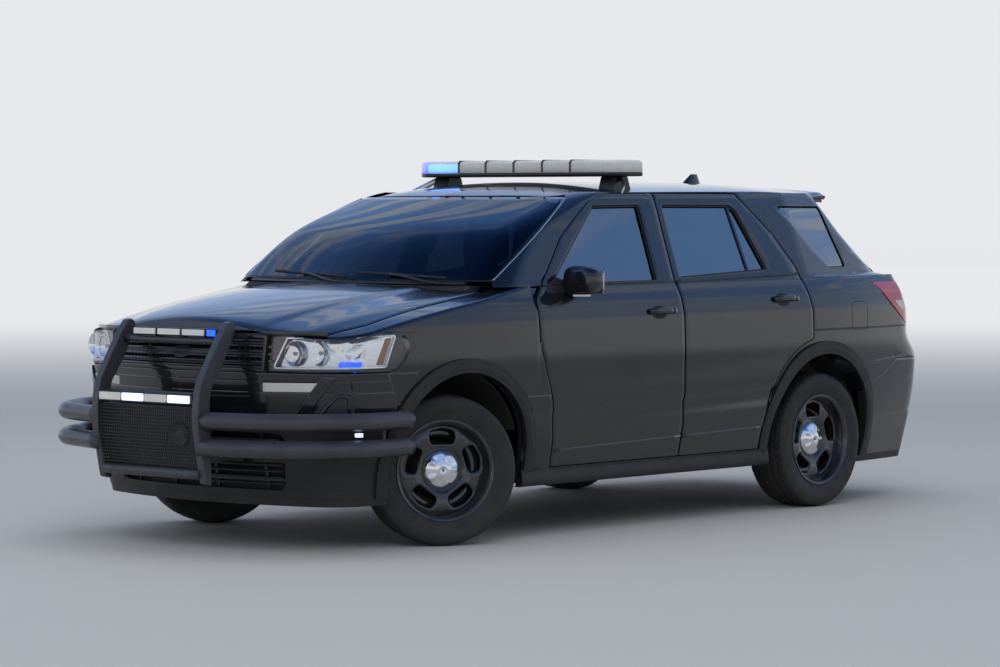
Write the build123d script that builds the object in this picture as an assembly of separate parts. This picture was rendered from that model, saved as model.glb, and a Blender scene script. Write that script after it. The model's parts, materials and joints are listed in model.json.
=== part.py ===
from build123d import *
import math
import os

# Police sport utility vehicle, in millimetres. The model is worked out from the front axle: X to the
# vehicle's left, Y to the rear, Z up from the road. It is moved by FRONT_AXLE_Y when it is written, so that
# the origin lies on the road under the middle of the overall box.

# Driving dimensions
WHEELBASE = 2860.0
TRACK = 1702.0
FRONT_REACH = 1186.0          # front axle to the foremost point, the push bar
REAR_REACH = 4050.0           # front axle to the rear bumper
FRONT_AXLE_Y = (FRONT_REACH - REAR_REACH) / 2

# Wheels and tyres
TYRE_R = 363.5
TYRE_WIDTH = 245.0
RIM_R = 228.6
RIM_WIDTH = 205.0
FLANGE_R = 245.0
KINGPIN_X = 760.0
STEER_REST = -29.0            # the front wheels are parked turned to the vehicle's right
HUB_R = 75.0
HUB_FACE = 28.0               # wheel centre plane to the face where the wheel bolts on
RUN_GAP = 0.5

# Panels
SKIN = 12.0
DOOR_DEPTH = 110.0            # door thickness below the belt
FRAME_DEPTH = 48.0            # door and roof thickness above the belt
GLASS = 5.0
SHUT_GAP = 8.0
INNER_IN = 28.0               # how far the inner part of a door stands in from its edge
INNER_GAP = 18.0
PILLAR_HALF = 37.0            # half the width of the pillar between the doors
SEAT_GAP = 0.3                # clearance of glass and lamps in their seats
BELT_Z = 1245.0
ARCH_R = 455.0
FLARE_R = 523.0
ARCH_Z = 375.0
FLARE_PROUD = 18.0
SILL_Z = 250.0
DOOR_Z = 345.0
ROOF_JOINT_Z = 1700.0
# Hinge lines of the left doors as (x, y), and the round check arm that slides through the pillar: its mean
# radius about the hinge line, and where it starts and ends, in degrees
FRONT_HINGE = (1005.0, 516.0)
REAR_HINGE = (1006.0, 1648.0)
FRONT_CHECK = (90.0, 100.0, 242.0)
REAR_CHECK = (75.0, 128.0, 210.0)
CHECK_THICK = 12.0
CHECK_Z = (785.0, 815.0)
HOOD_HINGE = (256.0, 1202.0)
TAIL_HINGE_Y = 3150.0

# Plan outline of the lower body at its widest. Every arc keeps its centre when the outline moves in.
SIDE_X = 1003.0
FLAT_Y = (500.0, 2760.0)      # the sides are flat between these two values of y
SIDE_ARC_R = (9000.0, 5600.0)
CORNER_R = (320.0, 260.0)
END_ARC_R = (2300.0, 4200.0)
NOSE_Y = -950.0
HATCH_Y = 3935.0
# How far the lower body's skin stands in from that outline: height, inset
LOWER = [(215, 95), (640, 13), (730, 6), (880, 0), (1030, 3), (1140, 21), (1250, 75.5)]
# The nose leans back above this line, as (y, z)
NOSE_LEAN = [(-953, 900), (-850, 1130)]
# The tail is cut by a cylinder that leans forward, through these two points as (y, z)
TAIL_LEAN = [(3937, 860), (3805, 1245)]
TAIL_LEAN_R = 3000.0

# Plan outlines of the cabin: height, windshield y on the centre line and at the side, side x, rear corner y,
# tail y. Behind CABIN_FLAT_Y the sides taper by CABIN_TAPER.
CABIN = [
    (1190, 45, 250, 951.5, 3690, 3856),
    (1480, 420, 560, 838, 3330, 3585),
    (1640, 810, 950, 775.5, 3180, 3435),
    (1700, 1020, 1160, 740, 3120, 3372),
    (1772, 1560, 1700, 480, 3040, 3200),
]
CABIN_CORNER_R = (190.0, 170.0)
CABIN_FLAT_Y = 2790.0
CABIN_TAPER = 0.16

# Hood and fender top surface: y, height on the centre line, height at HOOD_EDGE_X
HOOD_EDGE_X = 900.0
DECK = [
    (-1040, 1020, 870),
    (-800, 1110, 982),
    (-300, 1202, 1108),
    (300, 1266, 1208),
    (520, 1306, 1248),
]
# Roof top surface: y, height on the centre line, height at ROOF_EDGE_X
ROOF_EDGE_X = 740.0
CROWN = [
    (850, 1690, 1625),
    (1400, 1751, 1695),
    (2500, 1756, 1701),
    (4000, 1681, 1639.5),
]

# Side outlines as (y, z), from the bottom front corner
FRONT_DOOR = [
    (640, DOOR_Z), (628, 630), (520, 960), (518, 1170), (618, 1254), (853, 1473), (1142, 1647),
    (1290, 1692), (1676, 1692), (1640, 1250), (1640, DOOR_Z),
]
FRONT_DOOR_R = [30, 300, 200, 40, 60, 400, 300, 20, 60, 20]
FRONT_WINDOW = [(664, 1236), (1166, 1634), (1536, 1638), (1505, 1240)]
REAR_DOOR_TOP = [
    (1650, DOOR_Z), (1650, 1250), (1686, 1692), (2363, 1692), (2583, 1476), (2700, 1300), (2743, 1080),
]
REAR_DOOR_ARC_R = 548.0
REAR_WINDOW = [(1692, 1252), (1718, 1638), (2284, 1636), (2332, 1610), (2452, 1284)]
QUARTER_WINDOW = [(2672, 1628), (3160, 1626), (3262, 1292), (3062, 1290)]
WINDOW_R = 22.0


def circles_meet(c1, r1, c2, r2, side):
    """Where two circles cross, on the given side of the line between their centres."""
    dx, dy = c2[0] - c1[0], c2[1] - c1[1]
    apart = math.hypot(dx, dy)
    along = (r1 * r1 - r2 * r2 + apart * apart) / (2 * apart)
    across = side * math.sqrt(r1 * r1 - along * along)
    return ((along * dx + across * dy) / apart + c1[0], (along * dy - across * dx) / apart + c1[1])


def outward(centre, toward, radius):
    """The point of a circle that lies in the direction of another point."""
    apart = math.dist(centre, toward)
    return tuple(c + (t - c) / apart * radius for c, t in zip(centre, toward))


def on_circle(centre, radius, angle):
    """The point of a circle at an angle."""
    return (centre[0] + radius * math.cos(angle), centre[1] + radius * math.sin(angle))


def angle_of(centre, point):
    """Angle of a point seen from a centre."""
    return math.atan2(point[1] - centre[1], point[0] - centre[0])


def lower_outline(z, inset, tail_y):
    """Plan outline of the lower body, moved in by inset: end arc, corner, side arc and flat side."""
    edges = []
    for end, tip, way in ((0, NOSE_Y, -1), (1, tail_y, 1)):
        end_c = (0.0, tip - way * END_ARC_R[end])
        side_c = (SIDE_X - SIDE_ARC_R[end], FLAT_Y[end])
        corner_c = circles_meet(end_c, END_ARC_R[end] - CORNER_R[end], side_c, SIDE_ARC_R[end] - CORNER_R[end], way)
        end_r, corner_r, side_r = (r[end] - inset for r in (END_ARC_R, CORNER_R, SIDE_ARC_R))
        nose_join = outward(end_c, corner_c, end_r)
        side_join = outward(side_c, corner_c, side_r)
        middle = (angle_of(corner_c, nose_join) + angle_of(corner_c, side_join)) / 2
        corner_mid = on_circle(corner_c, corner_r, middle)
        side_mid = on_circle(side_c, side_r, angle_of(side_c, side_join) / 2)
        flat = (SIDE_X - inset, FLAT_Y[end])
        edges.append(ThreePointArc((-nose_join[0], nose_join[1]), (0, tip - way * inset), nose_join))
        for mirrored in (1, -1):
            a, b, c, d, e = ((mirrored * x, y) for x, y in (nose_join, corner_mid, side_join, side_mid, flat))
            edges += [ThreePointArc(a, b, c), ThreePointArc(c, d, e)]
    for mirrored in (1, -1):
        x = mirrored * (SIDE_X - inset)
        edges.append(Line((x, FLAT_Y[0]), (x, FLAT_Y[1])))
    return Pos(0, 0, z) * make_face(edges)


def cabin_outline(level, inset):
    """Plan outline of the cabin at one height, moved in by inset."""
    z, nose_y, fy, side_x, ry, tail_y = level
    side_x = side_x - inset
    nose_y, fy, ry, tail_y = nose_y + inset, fy + inset, ry - inset, tail_y - inset
    rx = side_x - CABIN_TAPER * (ry - CABIN_FLAT_Y)
    edges = [ThreePointArc((-side_x, fy), (0, nose_y), (side_x, fy)), ThreePointArc((rx, ry), (0, tail_y), (-rx, ry))]
    for side in (1, -1):
        x = side * side_x
        edges.append(Line((x, fy), (x, CABIN_FLAT_Y)))
        edges.append(Line((x, CABIN_FLAT_Y), (side * rx, ry)))
    face = make_face(edges)
    front = [v for v in face.vertices() if abs(v.Y - fy) < 1]
    face = fillet(front, CABIN_CORNER_R[0] - inset)
    rear = [v for v in face.vertices() if abs(v.Y - ry) < 1]
    face = fillet(rear, CABIN_CORNER_R[1] - inset)
    return Pos(0, 0, z) * face


def lower_body(inset, tail_y=HATCH_Y):
    """Lower body, solid, with its skin moved in by inset."""
    return loft([lower_outline(z, depth + inset, tail_y) for z, depth in LOWER], ruled=True)


def tail_lean(inset):
    """Everything ahead of the leaning tail surface, moved in by inset."""
    (y0, z0), (y1, z1) = TAIL_LEAN
    lean = math.atan2(y0 - y1, z1 - z0)
    axis_y = y0 - TAIL_LEAN_R / math.cos(lean)
    return Pos(0, axis_y, z0) * Rot(math.degrees(lean), 0, 0) * Cylinder(TAIL_LEAN_R - inset, 4 * TAIL_LEAN_R)


def cabin_body(inset):
    """Cabin, solid, with its skin moved in by inset."""
    return loft([cabin_outline(row, inset) for row in CABIN], ruled=True)


def profile_x(z):
    """Half width of the body's flat side at a height."""
    rows = [(height, SIDE_X - depth) for height, depth in LOWER if height < BELT_Z]
    rows += [(BELT_Z, belt_x())] + [(row[0], row[3]) for row in CABIN if row[0] > BELT_Z]
    for (z0, x0), (z1, x1) in zip(rows, rows[1:]):
        if z0 <= z <= z1:
            return x0 + (x1 - x0) * (z - z0) / (z1 - z0)
    raise ValueError("height outside the side's profile")


def belt_x():
    """Half width at the belt, where the cabin's side starts."""
    (z0, _, _, x0, _, _), (z1, _, _, x1, _, _) = CABIN[0], CABIN[1]
    return x0 + (x1 - x0) * (BELT_Z - z0) / (z1 - z0)


def side_layer(z0, z1, outside, inside):
    """Flat-sided layer of the body's left side, between two heights and two depths from the skin."""
    heights = [z0] + [z for z in [h for h, _ in LOWER] + [row[0] for row in CABIN] if z0 < z < z1] + [z1]
    outer = [(profile_x(z) - outside, z) for z in heights]
    inner = [(profile_x(z) - inside, z) for z in reversed(heights)]
    return front_prism(polygon(outer + inner), FLAT_Y[0], FLAT_Y[1])


def crowned_block(rows, edge_x, half_width, base_z, drop):
    """Solid under a surface that is crowned across, from rows of y, centre height and edge height."""
    sections = []
    for y, centre_z, edge_z in rows:
        fall = (centre_z - edge_z) * (half_width / edge_x) ** 2
        plane = Plane(origin=(0, y, 0), x_dir=(1, 0, 0), z_dir=(0, -1, 0))
        top = centre_z - drop
        side = top - fall
        arc = ThreePointArc((-half_width, side), (0, top), (half_width, side))
        base = Polyline((half_width, side), (half_width, base_z), (-half_width, base_z), (-half_width, side))
        sections.append(plane * make_face([arc, base]))
    return loft(sections, ruled=True)


def side_prism(face, x0, x1):
    """Solid from a face drawn as (y, z), between two values of x."""
    plane = Plane(origin=(x0, 0, 0), x_dir=(0, 1, 0), z_dir=(1, 0, 0))
    return extrude(plane * face, amount=x1 - x0)


def front_prism(face, y0, y1):
    """Solid from a face drawn as (x, z), between two values of y."""
    plane = Plane(origin=(0, y1, 0), x_dir=(1, 0, 0), z_dir=(0, -1, 0))
    return extrude(plane * face, amount=y1 - y0)


def box(x0, x1, y0, y1, z0, z1):
    """Box between two corners."""
    return Pos((x0 + x1) / 2, (y0 + y1) / 2, (z0 + z1) / 2) * Box(abs(x1 - x0), abs(y1 - y0), abs(z1 - z0))


def rod(start, end, radius):
    """Round bar between two points."""
    start, end = Vector(*start), Vector(*end)
    along = end - start
    return extrude(Plane(origin=start, z_dir=along) * Circle(radius), amount=along.length)


def wheel_cylinder(y, z, radius, x0, x1):
    """Cylinder about an axle line."""
    return rod((x0, y, z), (x1, y, z), radius)


def rounded(points, radii):
    """Closed outline with rounded corners. The first corner stays sharp."""
    return make_face(FilletPolyline(*points, radius=radii, close=True))


def polygon(points):
    """Closed outline with sharp corners."""
    return make_face(Polyline(*points, close=True))


def both_sides(shape):
    """A piece and its mirror image on the other side."""
    return [shape, mirror(shape, Plane.YZ)]


PARTS = {}


def keep(name, *shapes):
    """Store the solids of one node."""
    solids = []
    for shape in shapes:
        solids.extend(shape.solids())
    PARTS[name] = solids


def write_parts():
    """Write one file per node, moved to the origin under the middle of the overall box."""
    os.makedirs("parts", exist_ok=True)
    for name, solids in PARTS.items():
        moved = [Pos(0, FRONT_AXLE_Y, 0) * solid for solid in solids]
        shape = moved[0] if len(moved) == 1 else Compound(children=moved)
        export_step(shape, f"parts/{name}.step")


# Nested skins that every body panel is cut from
FAR = 1300.0
deck = crowned_block(DECK, HOOD_EDGE_X, 1100.0, 0.0, 0.0)
deck_core = crowned_block(DECK, HOOD_EDGE_X, 1100.0, 0.0, SKIN)
nose_lean = side_prism(polygon([(-1200, NOSE_LEAN[0][1]), NOSE_LEAN[0], NOSE_LEAN[1], (-750, 1350), (-1200, 1350)]),
                       -FAR, FAR)
low_outer = (lower_body(0) - nose_lean) & tail_lean(0)
low_core = (lower_body(SKIN) - Pos(0, SKIN, 0) * nose_lean) & tail_lean(SKIN)
low_cabin = lower_body(DOOR_DEPTH) & tail_lean(DOOR_DEPTH)
front_half = box(-FAR, FAR, -1300, FLAT_Y[0], 0, BELT_Z - 1)
rear_half = box(-FAR, FAR, FLAT_Y[0], 4300, 0, BELT_Z)
front_skin = (low_outer & deck & front_half) - (low_core & deck_core)
rear_skin = (low_outer & rear_half) - low_core
rear_wall = (low_core - low_cabin) & rear_half
high_outer = cabin_body(0) & crowned_block(CROWN, ROOF_EDGE_X, 1000.0, 1100.0, 0.0)
high_core = cabin_body(SKIN) & crowned_block(CROWN, ROOF_EDGE_X, 1000.0, 1100.0, SKIN)
high_room = cabin_body(FRAME_DEPTH) & crowned_block(CROWN, ROOF_EDGE_X, 1000.0, 1100.0, FRAME_DEPTH)
above_belt = box(-FAR, FAR, -200, 4300, BELT_Z, 1800)
high_skin = (high_outer - high_core) & above_belt
high_wall = (high_core - high_room) & above_belt


# Outlines of the openings
def front_door_face():
    return rounded(FRONT_DOOR, FRONT_DOOR_R + [30])


def rear_door_face():
    """The rear door's rear edge follows the wheel arch."""
    dz_top = math.sqrt(REAR_DOOR_ARC_R ** 2 - (WHEELBASE - REAR_DOOR_TOP[-1][0]) ** 2)
    dy_low = math.sqrt(REAR_DOOR_ARC_R ** 2 - (ARCH_Z - DOOR_Z) ** 2)
    turn = math.radians(150)
    arc_top = (REAR_DOOR_TOP[-1][0], ARCH_Z + dz_top)
    arc_low = (WHEELBASE - dy_low, DOOR_Z)
    arc_mid = (WHEELBASE + REAR_DOOR_ARC_R * math.cos(turn), ARCH_Z + REAR_DOOR_ARC_R * math.sin(turn))
    upper = Polyline(*REAR_DOOR_TOP, arc_top)
    return make_face([upper, ThreePointArc(arc_top, arc_mid, arc_low), Line(arc_low, REAR_DOOR_TOP[0])])


pillar_y = (FRONT_DOOR[-1][0] + REAR_DOOR_TOP[0][0]) / 2


def door_cuts(face):
    """Outline prisms for one door: its skin, its inner part, and the body's two openings."""
    skin = side_prism(face, 100, FAR)
    keep_out = box(100, FAR, pillar_y - PILLAR_HALF - INNER_GAP, pillar_y + PILLAR_HALF + INNER_GAP, 0, 2000)
    inner = side_prism(offset(face, -INNER_IN, kind=Kind.INTERSECTION), 100, FAR) - keep_out
    body_skin = side_prism(offset(face, SHUT_GAP, kind=Kind.INTERSECTION), 100, FAR)
    pillar = box(100, FAR, pillar_y - PILLAR_HALF, pillar_y + PILLAR_HALF, 0, 2000)
    body_inner = side_prism(offset(face, INNER_GAP - INNER_IN, kind=Kind.INTERSECTION), 100, FAR) - pillar
    return skin, inner, body_skin, body_inner


DOOR_TOP_Z = 1695.0
leaf_skin = side_layer(DOOR_Z - 20, BELT_Z, 0, SKIN)
leaf_wall = side_layer(DOOR_Z - 20, BELT_Z, SKIN, DOOR_DEPTH)
frame_skin = side_layer(BELT_Z, DOOR_TOP_Z, 0, SKIN)
frame_wall = side_layer(BELT_Z, DOOR_TOP_Z, SKIN, FRAME_DEPTH)


def door(face, window, hinge, check):
    """A whole left-hand door: outer skin, inner part and window frame, with the window cut out."""
    skin, inner, _, _ = door_cuts(face)
    leaf = ((leaf_skin + frame_skin) & skin) + ((leaf_wall + frame_wall) & inner)
    return leaf - side_prism(window, 100, FAR) + check_arm(hinge, check, 0.0)


def check_arm(hinge, check, grow):
    """Curved arm about the hinge line that holds the door open, or the slot for it when grown."""
    radius, start, end = check
    height = CHECK_Z[1] - CHECK_Z[0] + 2 * grow
    ring = Cylinder(radius + CHECK_THICK / 2 + grow, height) - Cylinder(radius - CHECK_THICK / 2 - grow, height)
    turns = [math.radians(start + (end - start) * step / 3) for step in range(4)]
    reach = 3 * radius
    wedge = polygon([(0, 0)] + [(reach * math.cos(turn), reach * math.sin(turn)) for turn in turns])
    arm = ring & extrude(wedge, amount=height, both=True)
    return Pos(hinge[0], hinge[1], sum(CHECK_Z) / 2) * arm


def pane(window, outside):
    """Glass that stands in a side window, at a depth from the skin, with a small clearance."""
    layer = side_layer(BELT_Z - 20, DOOR_TOP_Z, outside, outside + GLASS)
    return layer & side_prism(offset(window, -SEAT_GAP), 100, FAR)


front_door = front_door_face()
rear_door = rear_door_face()
front_window = rounded(FRONT_WINDOW, [WINDOW_R] * len(FRONT_WINDOW))
rear_window = rounded(REAR_WINDOW, [WINDOW_R] * len(REAR_WINDOW))
quarter_window = rounded(QUARTER_WINDOW, [WINDOW_R] * len(QUARTER_WINDOW))

glass_outer = cabin_body(14)
glass_core = cabin_body(14 + GLASS)
flush_outer = cabin_body(3)
flush_core = cabin_body(3 + GLASS)

# Doors
for place, face, window, hinge, check in (("front", front_door, front_window, FRONT_HINGE, FRONT_CHECK),
                                          ("rear", rear_door, rear_window, REAR_HINGE, REAR_CHECK)):
    left = door(face, window, hinge, check)
    left_glass = pane(window, 14)
    for side, shape, glass in (("left", left, left_glass),
                               ("right", mirror(left, Plane.YZ), mirror(left_glass, Plane.YZ))):
        keep(f"door_{place}_{side}", shape)
        keep(f"glass_{place}_{side}", glass)

# Mirrors
mirror_shell = fillet(box(985, 1145.5, 745, 860, 1170, 1336).edges(), 38)
mirror_arm = box(880, 1000, 765, 835, 1180, 1220)
door_mirror = (mirror_shell + mirror_arm) - lower_body(-SEAT_GAP) - cabin_body(-SEAT_GAP)
keep("mirror_left", door_mirror)
keep("mirror_right", mirror(door_mirror, Plane.YZ))

# Hood
def hood_plan(grow):
    """The hood's outline from above, its edges moved out by grow."""
    side, corner, nose = 845 + grow, 852 + grow, 800 + grow
    return make_face([
        ThreePointArc((-nose, -760 - grow), (0, -1010 - grow), (nose, -760 - grow)),
        Line((nose, -760 - grow), (corner, -560)),
        Line((corner, -560), (side, 248 + grow)),
        ThreePointArc((side, 248 + grow), (0, 44 + grow), (-side, 248 + grow)),
        Line((-side, 248 + grow), (-corner, -560)),
        Line((-corner, -560), (-nose, -760 - grow)),
    ])


HOOD_DEPTH = 45.0
HOOD_LIP_Z = 1042.0
hood_block = extrude(hood_plan(0), amount=2000)
hood_room = extrude(hood_plan(SHUT_GAP), amount=2000)
hood_under = crowned_block(DECK, HOOD_EDGE_X, 1100.0, 0.0, HOOD_DEPTH)
hood = (deck & hood_block & low_outer) - hood_under - box(-FAR, FAR, -1200, -450, 0, HOOD_LIP_Z)
# Hinge arms: each reaches back from the hood's underside to a pin on the hinge line
HINGE_ARM_X = (797.0, 809.0)
HINGE_PIN = (788.0, 818.0, 9.0)     # the pin's two ends, and its radius
pin_y, pin_z = HOOD_HINGE
arm_face = polygon([(pin_y - 45, pin_z - 35), (pin_y - 28, pin_z - 35), (pin_y + 6, pin_z - 6), (pin_y + 6, pin_z + 6),
                    (pin_y - 6, pin_z + 6), (pin_y - 45, pin_z - 12)])
for side in (1, -1):
    hood = hood + side_prism(arm_face, side * HINGE_ARM_X[0], side * HINGE_ARM_X[1])
    hood = hood + rod((side * HINGE_PIN[0], pin_y, pin_z), (side * HINGE_PIN[1], pin_y, pin_z), HINGE_PIN[2])
keep("hood", hood)

# Roof
windshield_face = rounded([(-775, 1244), (775, 1244), (640, 1670), (-640, 1670)], [40] * 4)
windshield_cut = front_prism(windshield_face, -200, 1400)
tail_face = rounded([(-600, 790), (600, 790), (618, 960), (632, 1200), (735, 1262), (664, 1690), (720, 1770),
                     (-720, 1770), (-664, 1690), (-735, 1262), (-632, 1200), (-618, 960)],
                    [20] * 12)
tail_grown = offset(tail_face, SHUT_GAP, kind=Kind.INTERSECTION)
tail_skin_cut = front_prism(tail_grown, TAIL_HINGE_Y - SHUT_GAP, 4300)
high_shell = (high_outer - high_room) & above_belt
roof = high_shell & box(-FAR, FAR, 900, TAIL_HINGE_Y - SHUT_GAP, ROOF_JOINT_Z, 1800)
header = high_shell & box(-640, 640, 900, 1300, 1660, ROOF_JOINT_Z)
fin = loft([Pos(0, 2930, 1735) * Ellipse(30, 95), Pos(0, 2965, 1806) * Ellipse(6, 28)])
keep("roof_panel", (roof + header - windshield_cut) + fin)

# Side frames
ROCKER_IN_X = 868.0
arch_cut = wheel_cylinder(WHEELBASE, ARCH_Z, ARCH_R, 600, FAR)
behind_skin = side_layer(SILL_Z, BELT_Z, -SKIN, SKIN + SHUT_GAP) \
    + side_layer(BELT_Z, ROOF_JOINT_Z, -SKIN, SKIN + SHUT_GAP)


def door_opening(face, hinge, check):
    """What the body leaves free for one door: a wide shallow step, a narrower inner part and the arm's slot."""
    _, _, body_skin, body_inner = door_cuts(face)
    return [body_skin & behind_skin, body_inner, check_arm(hinge, check, SEAT_GAP)]


door_openings = door_opening(front_door, FRONT_HINGE, FRONT_CHECK) + door_opening(rear_door, REAR_HINGE, REAR_CHECK)
left_skin_zone = box(600, FAR, 700, 4300, DOOR_Z - SHUT_GAP, BELT_Z)
left_wall_zone = box(600, FAR, FLAT_Y[0] + 4, 4300, SILL_Z, BELT_Z)
left_high_zone = box(0, FAR, -200, 4300, BELT_Z, ROOF_JOINT_Z)
side_low = ((rear_skin & left_skin_zone) + (rear_wall & left_wall_zone)) - door_openings
side_high = (high_shell & left_high_zone) - door_openings
bumper_rear_zone = side_prism(polygon([(3250, 100), (4300, 100), (4300, 700), (3900, 780), (3600, 780),
                                       (3430, 690), (3250, 660)]), 0, FAR)
TAIL_LAMP = [(3400, 1206), (4200, 1206), (4200, 955), (3740, 955), (3560, 1075)]
tail_lamp_zone = side_prism(polygon(TAIL_LAMP), 600, FAR)
tail_gap = front_prism(tail_grown, 3000, 4300)
side_left = (side_low - arch_cut - bumper_rear_zone - tail_lamp_zone
             - box(0, ROCKER_IN_X, 0, 4300, 0, 700) - (tail_gap & box(0, FAR, 3500, 4300, 0, 2000)))
side_left = side_left + (side_high - windshield_cut - side_prism(quarter_window, 100, FAR) - tail_skin_cut
                         - box(0, 640, 0, 1400, 1600, 1750))
keep("body_sides", *both_sides(side_left))

# Front fenders
fender_zone = side_prism(polygon([(-500, 1300), (-500, 850), (-400, 600), (-380, SILL_Z + 60), (-380, 100),
                                  (632, 100), (632, 345), (620, 630), (512, 960), (510, 1300)]), 500, FAR)
lamp_face = rounded([(530, 852), (548, 1016), (905, 1032), (938, 960), (885, 858)], [12] * 5)
lamp_zone = front_prism(lamp_face, -1100, -300)
lamp_room = front_prism(offset(lamp_face, SEAT_GAP), -1100, -300)
fender = (front_skin & fender_zone) - wheel_cylinder(0, ARCH_Z, ARCH_R, 300, FAR) - hood_room - lamp_room \
    - box(0, FAR, -600, 700, 0, DOOR_Z - 60) - box(0, 853, -600, 700, 700, 1400)
strip = side_layer(DOOR_Z - 60, BELT_Z - 1, 0, SKIN) & fender_zone
fender = fender + (strip & box(0, FAR, FLAT_Y[0], 700, 0, 1400))
keep("front_fenders", *both_sides(fender))

# Arch flares and sills
flare_body = lower_body(-FLARE_PROUD) - lower_body(-SEAT_GAP)
flares = []
for centre_y in (0, WHEELBASE):
    ring = wheel_cylinder(centre_y, ARCH_Z, FLARE_R, 600, FAR) - wheel_cylinder(centre_y, ARCH_Z, ARCH_R, 600, FAR)
    flares.append(flare_body & ring & box(600, FAR, -700, 4000, SILL_Z, 1100))
sill = (lower_body(-FLARE_PROUD) - lower_body(SKIN - SEAT_GAP)) & box(600, FAR, 430, 2420, SILL_Z,
                                                                    DOOR_Z - SHUT_GAP)
sill = sill - wheel_cylinder(0, ARCH_Z, ARCH_R, 300, FAR) - wheel_cylinder(WHEELBASE, ARCH_Z, ARCH_R, 300, FAR)
cladding = flares[0] + flares[1] + (sill - fender)
keep("lower_cladding", *both_sides(cladding))

# Front bumper
BUMPER_WALL = 24.0
nose_shell = low_outer - lower_body(BUMPER_WALL)
bumper_zone = side_prism(polygon([(-1100, 100), (-380, 100), (-380, SILL_Z + 60), (-400, 600), (-500, 846),
                                  (-1100, 846)]), -FAR, FAR)
lower_mouth = front_prism(rounded([(-560, 290), (560, 290), (600, 560), (-600, 560)], [40] * 4), -1200, -300)
fog_face = rounded([(500, 756), (500, 800), (893, 806), (893, 770)], [8] * 4)
fog_room = front_prism(offset(fog_face, SEAT_GAP), -1200, -400)
bumper = (nose_shell & bumper_zone) - lower_mouth
for side in (1, -1):
    bumper = bumper - wheel_cylinder(0, ARCH_Z, ARCH_R, side * 300, side * FAR)
bumper = bumper - fog_room - mirror(fog_room, Plane.YZ)
keep("front_bumper", bumper)

# Lamps
lamp = (lower_body(1) - lower_body(70)) & lamp_zone & deck
fog = (lower_body(2) - lower_body(26)) & front_prism(fog_face, -1200, -400)
keep("front_lamps", *both_sides(lamp), *both_sides(fog))

# Grille
grille_face = polygon([(-514, 846 + SEAT_GAP), (514, 846 + SEAT_GAP), (532, 1030), (-532, 1030)])
grille_shell = (lower_body(6) - lower_body(34)) & front_prism(grille_face, -1200, -500) & deck
bars = [front_prism(polygon([(-FAR, z), (FAR, z), (FAR, z + 14), (-FAR, z + 14)]), -1200, -500)
        for z in (884, 930, 976)]
opening = front_prism(offset(grille_face, -22, kind=Kind.INTERSECTION), -1200, -500)
upper_grille = grille_shell - opening
for bar in bars:
    upper_grille = upper_grille + (grille_shell & bar)
for x in (-260, 0, 260):
    upper_grille = upper_grille + ((lower_body(22) - lower_body(34)) & box(x - 8, x + 8, -1200, -500, 856, 1028))
lower_shell = lower_body(BUMPER_WALL + SEAT_GAP) - lower_body(BUMPER_WALL + 16)
lower_grille = lower_shell & box(-640, 640, -1200, -500, 270, 290)
lower_grille = lower_grille + (lower_shell & box(-640, 640, -1200, -500, 565, 585))
for z in (330, 375, 420, 465, 510):
    lower_grille = lower_grille + (lower_shell & box(-600, 600, -1200, -500, z, z + 12))
for x in (-450, -150, 150, 450):
    lower_grille = lower_grille + (lower_shell & box(x - 8, x + 8, -1200, -500, 275, 580))
for x in (-350, 350):
    lower_grille = lower_grille - box(x - 28, x + 28, -1200, -500, 412, 508)
keep("grille", upper_grille, lower_grille)

# Push bar
UPRIGHT_X = (330.0, 372.0)
BEAM_Y = -780.0                # front face of the beam behind the bumper
upright_face = make_face([
    Polyline((-1095, 320), (-1135, 330), (-1183, 560)),
    ThreePointArc((-1183, 560), (-1186, 700), (-1165, 800)),
    Polyline((-1165, 800), (-1000, 1070), (-968, 1085), (-940, 1060), (-1000, 930), (-1090, 790)),
    ThreePointArc((-1090, 790), (-1108, 700), (-1100, 560)),
    Line((-1100, 560), (-1095, 320)),
])
TUBE_R = 35.0


def wrap_tube(z):
    """Tube that runs round the bumper's corner."""
    path = FilletPolyline((UPRIGHT_X[0] + 10, -1150, z), (780, -1010, z), (1000, -700, z), (1003, -415, z),
                          radius=[330, 250])
    return sweep(Plane(origin=path @ 0, z_dir=path % 0) * Circle(TUBE_R), path=path)


push_bar = side_prism(upright_face, *UPRIGHT_X) + side_prism(upright_face, -UPRIGHT_X[1], -UPRIGHT_X[0])
for y, z in ((-1141, 372), (-1146, 500), (-1146, 625), (-1120, 800), (-1010, 985)):
    push_bar = push_bar + rod((-UPRIGHT_X[1] + 5, y, z), (UPRIGHT_X[1] - 5, y, z), 24)
for z in (500, 625):
    tube = wrap_tube(z)
    push_bar = push_bar + tube + mirror(tube, Plane.YZ)
for x in (-350, 350):
    push_bar = push_bar + box(x - 20, x + 20, -1130, BEAM_Y - SEAT_GAP, 420, 500)
keep("push_bar", push_bar)
upper_light = fillet(box(90, 250, -1030, -990, 1009 + SEAT_GAP, 1052).edges(), 8)
lower_light = fillet(box(SEAT_GAP - UPRIGHT_X[0], UPRIGHT_X[0] - SEAT_GAP, -1182, -1150, 700, 745).edges(), 8)
keep("push_bar_lights", *both_sides(upper_light), lower_light)

# Rear bumper
BUMPER_LEDGE = [(3866, 764), (3898, 764), (4300, 684), (4300, 700), (3900, 780), (3866, 780)]
rear_bumper = (lower_body(0, REAR_REACH) - lower_body(30, REAR_REACH)) & bumper_rear_zone
rear_bumper = rear_bumper + (lower_body(2, REAR_REACH) & side_prism(polygon(BUMPER_LEDGE), 0, FAR))
rear_bumper = rear_bumper + box(0, 60, 3872, 3896, 770, 790 + INNER_IN - SEAT_GAP)
rear_bumper = rear_bumper - arch_cut
rear_bumper = rear_bumper + mirror(rear_bumper, Plane.YZ)
keep("rear_bumper", rear_bumper)

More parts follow.
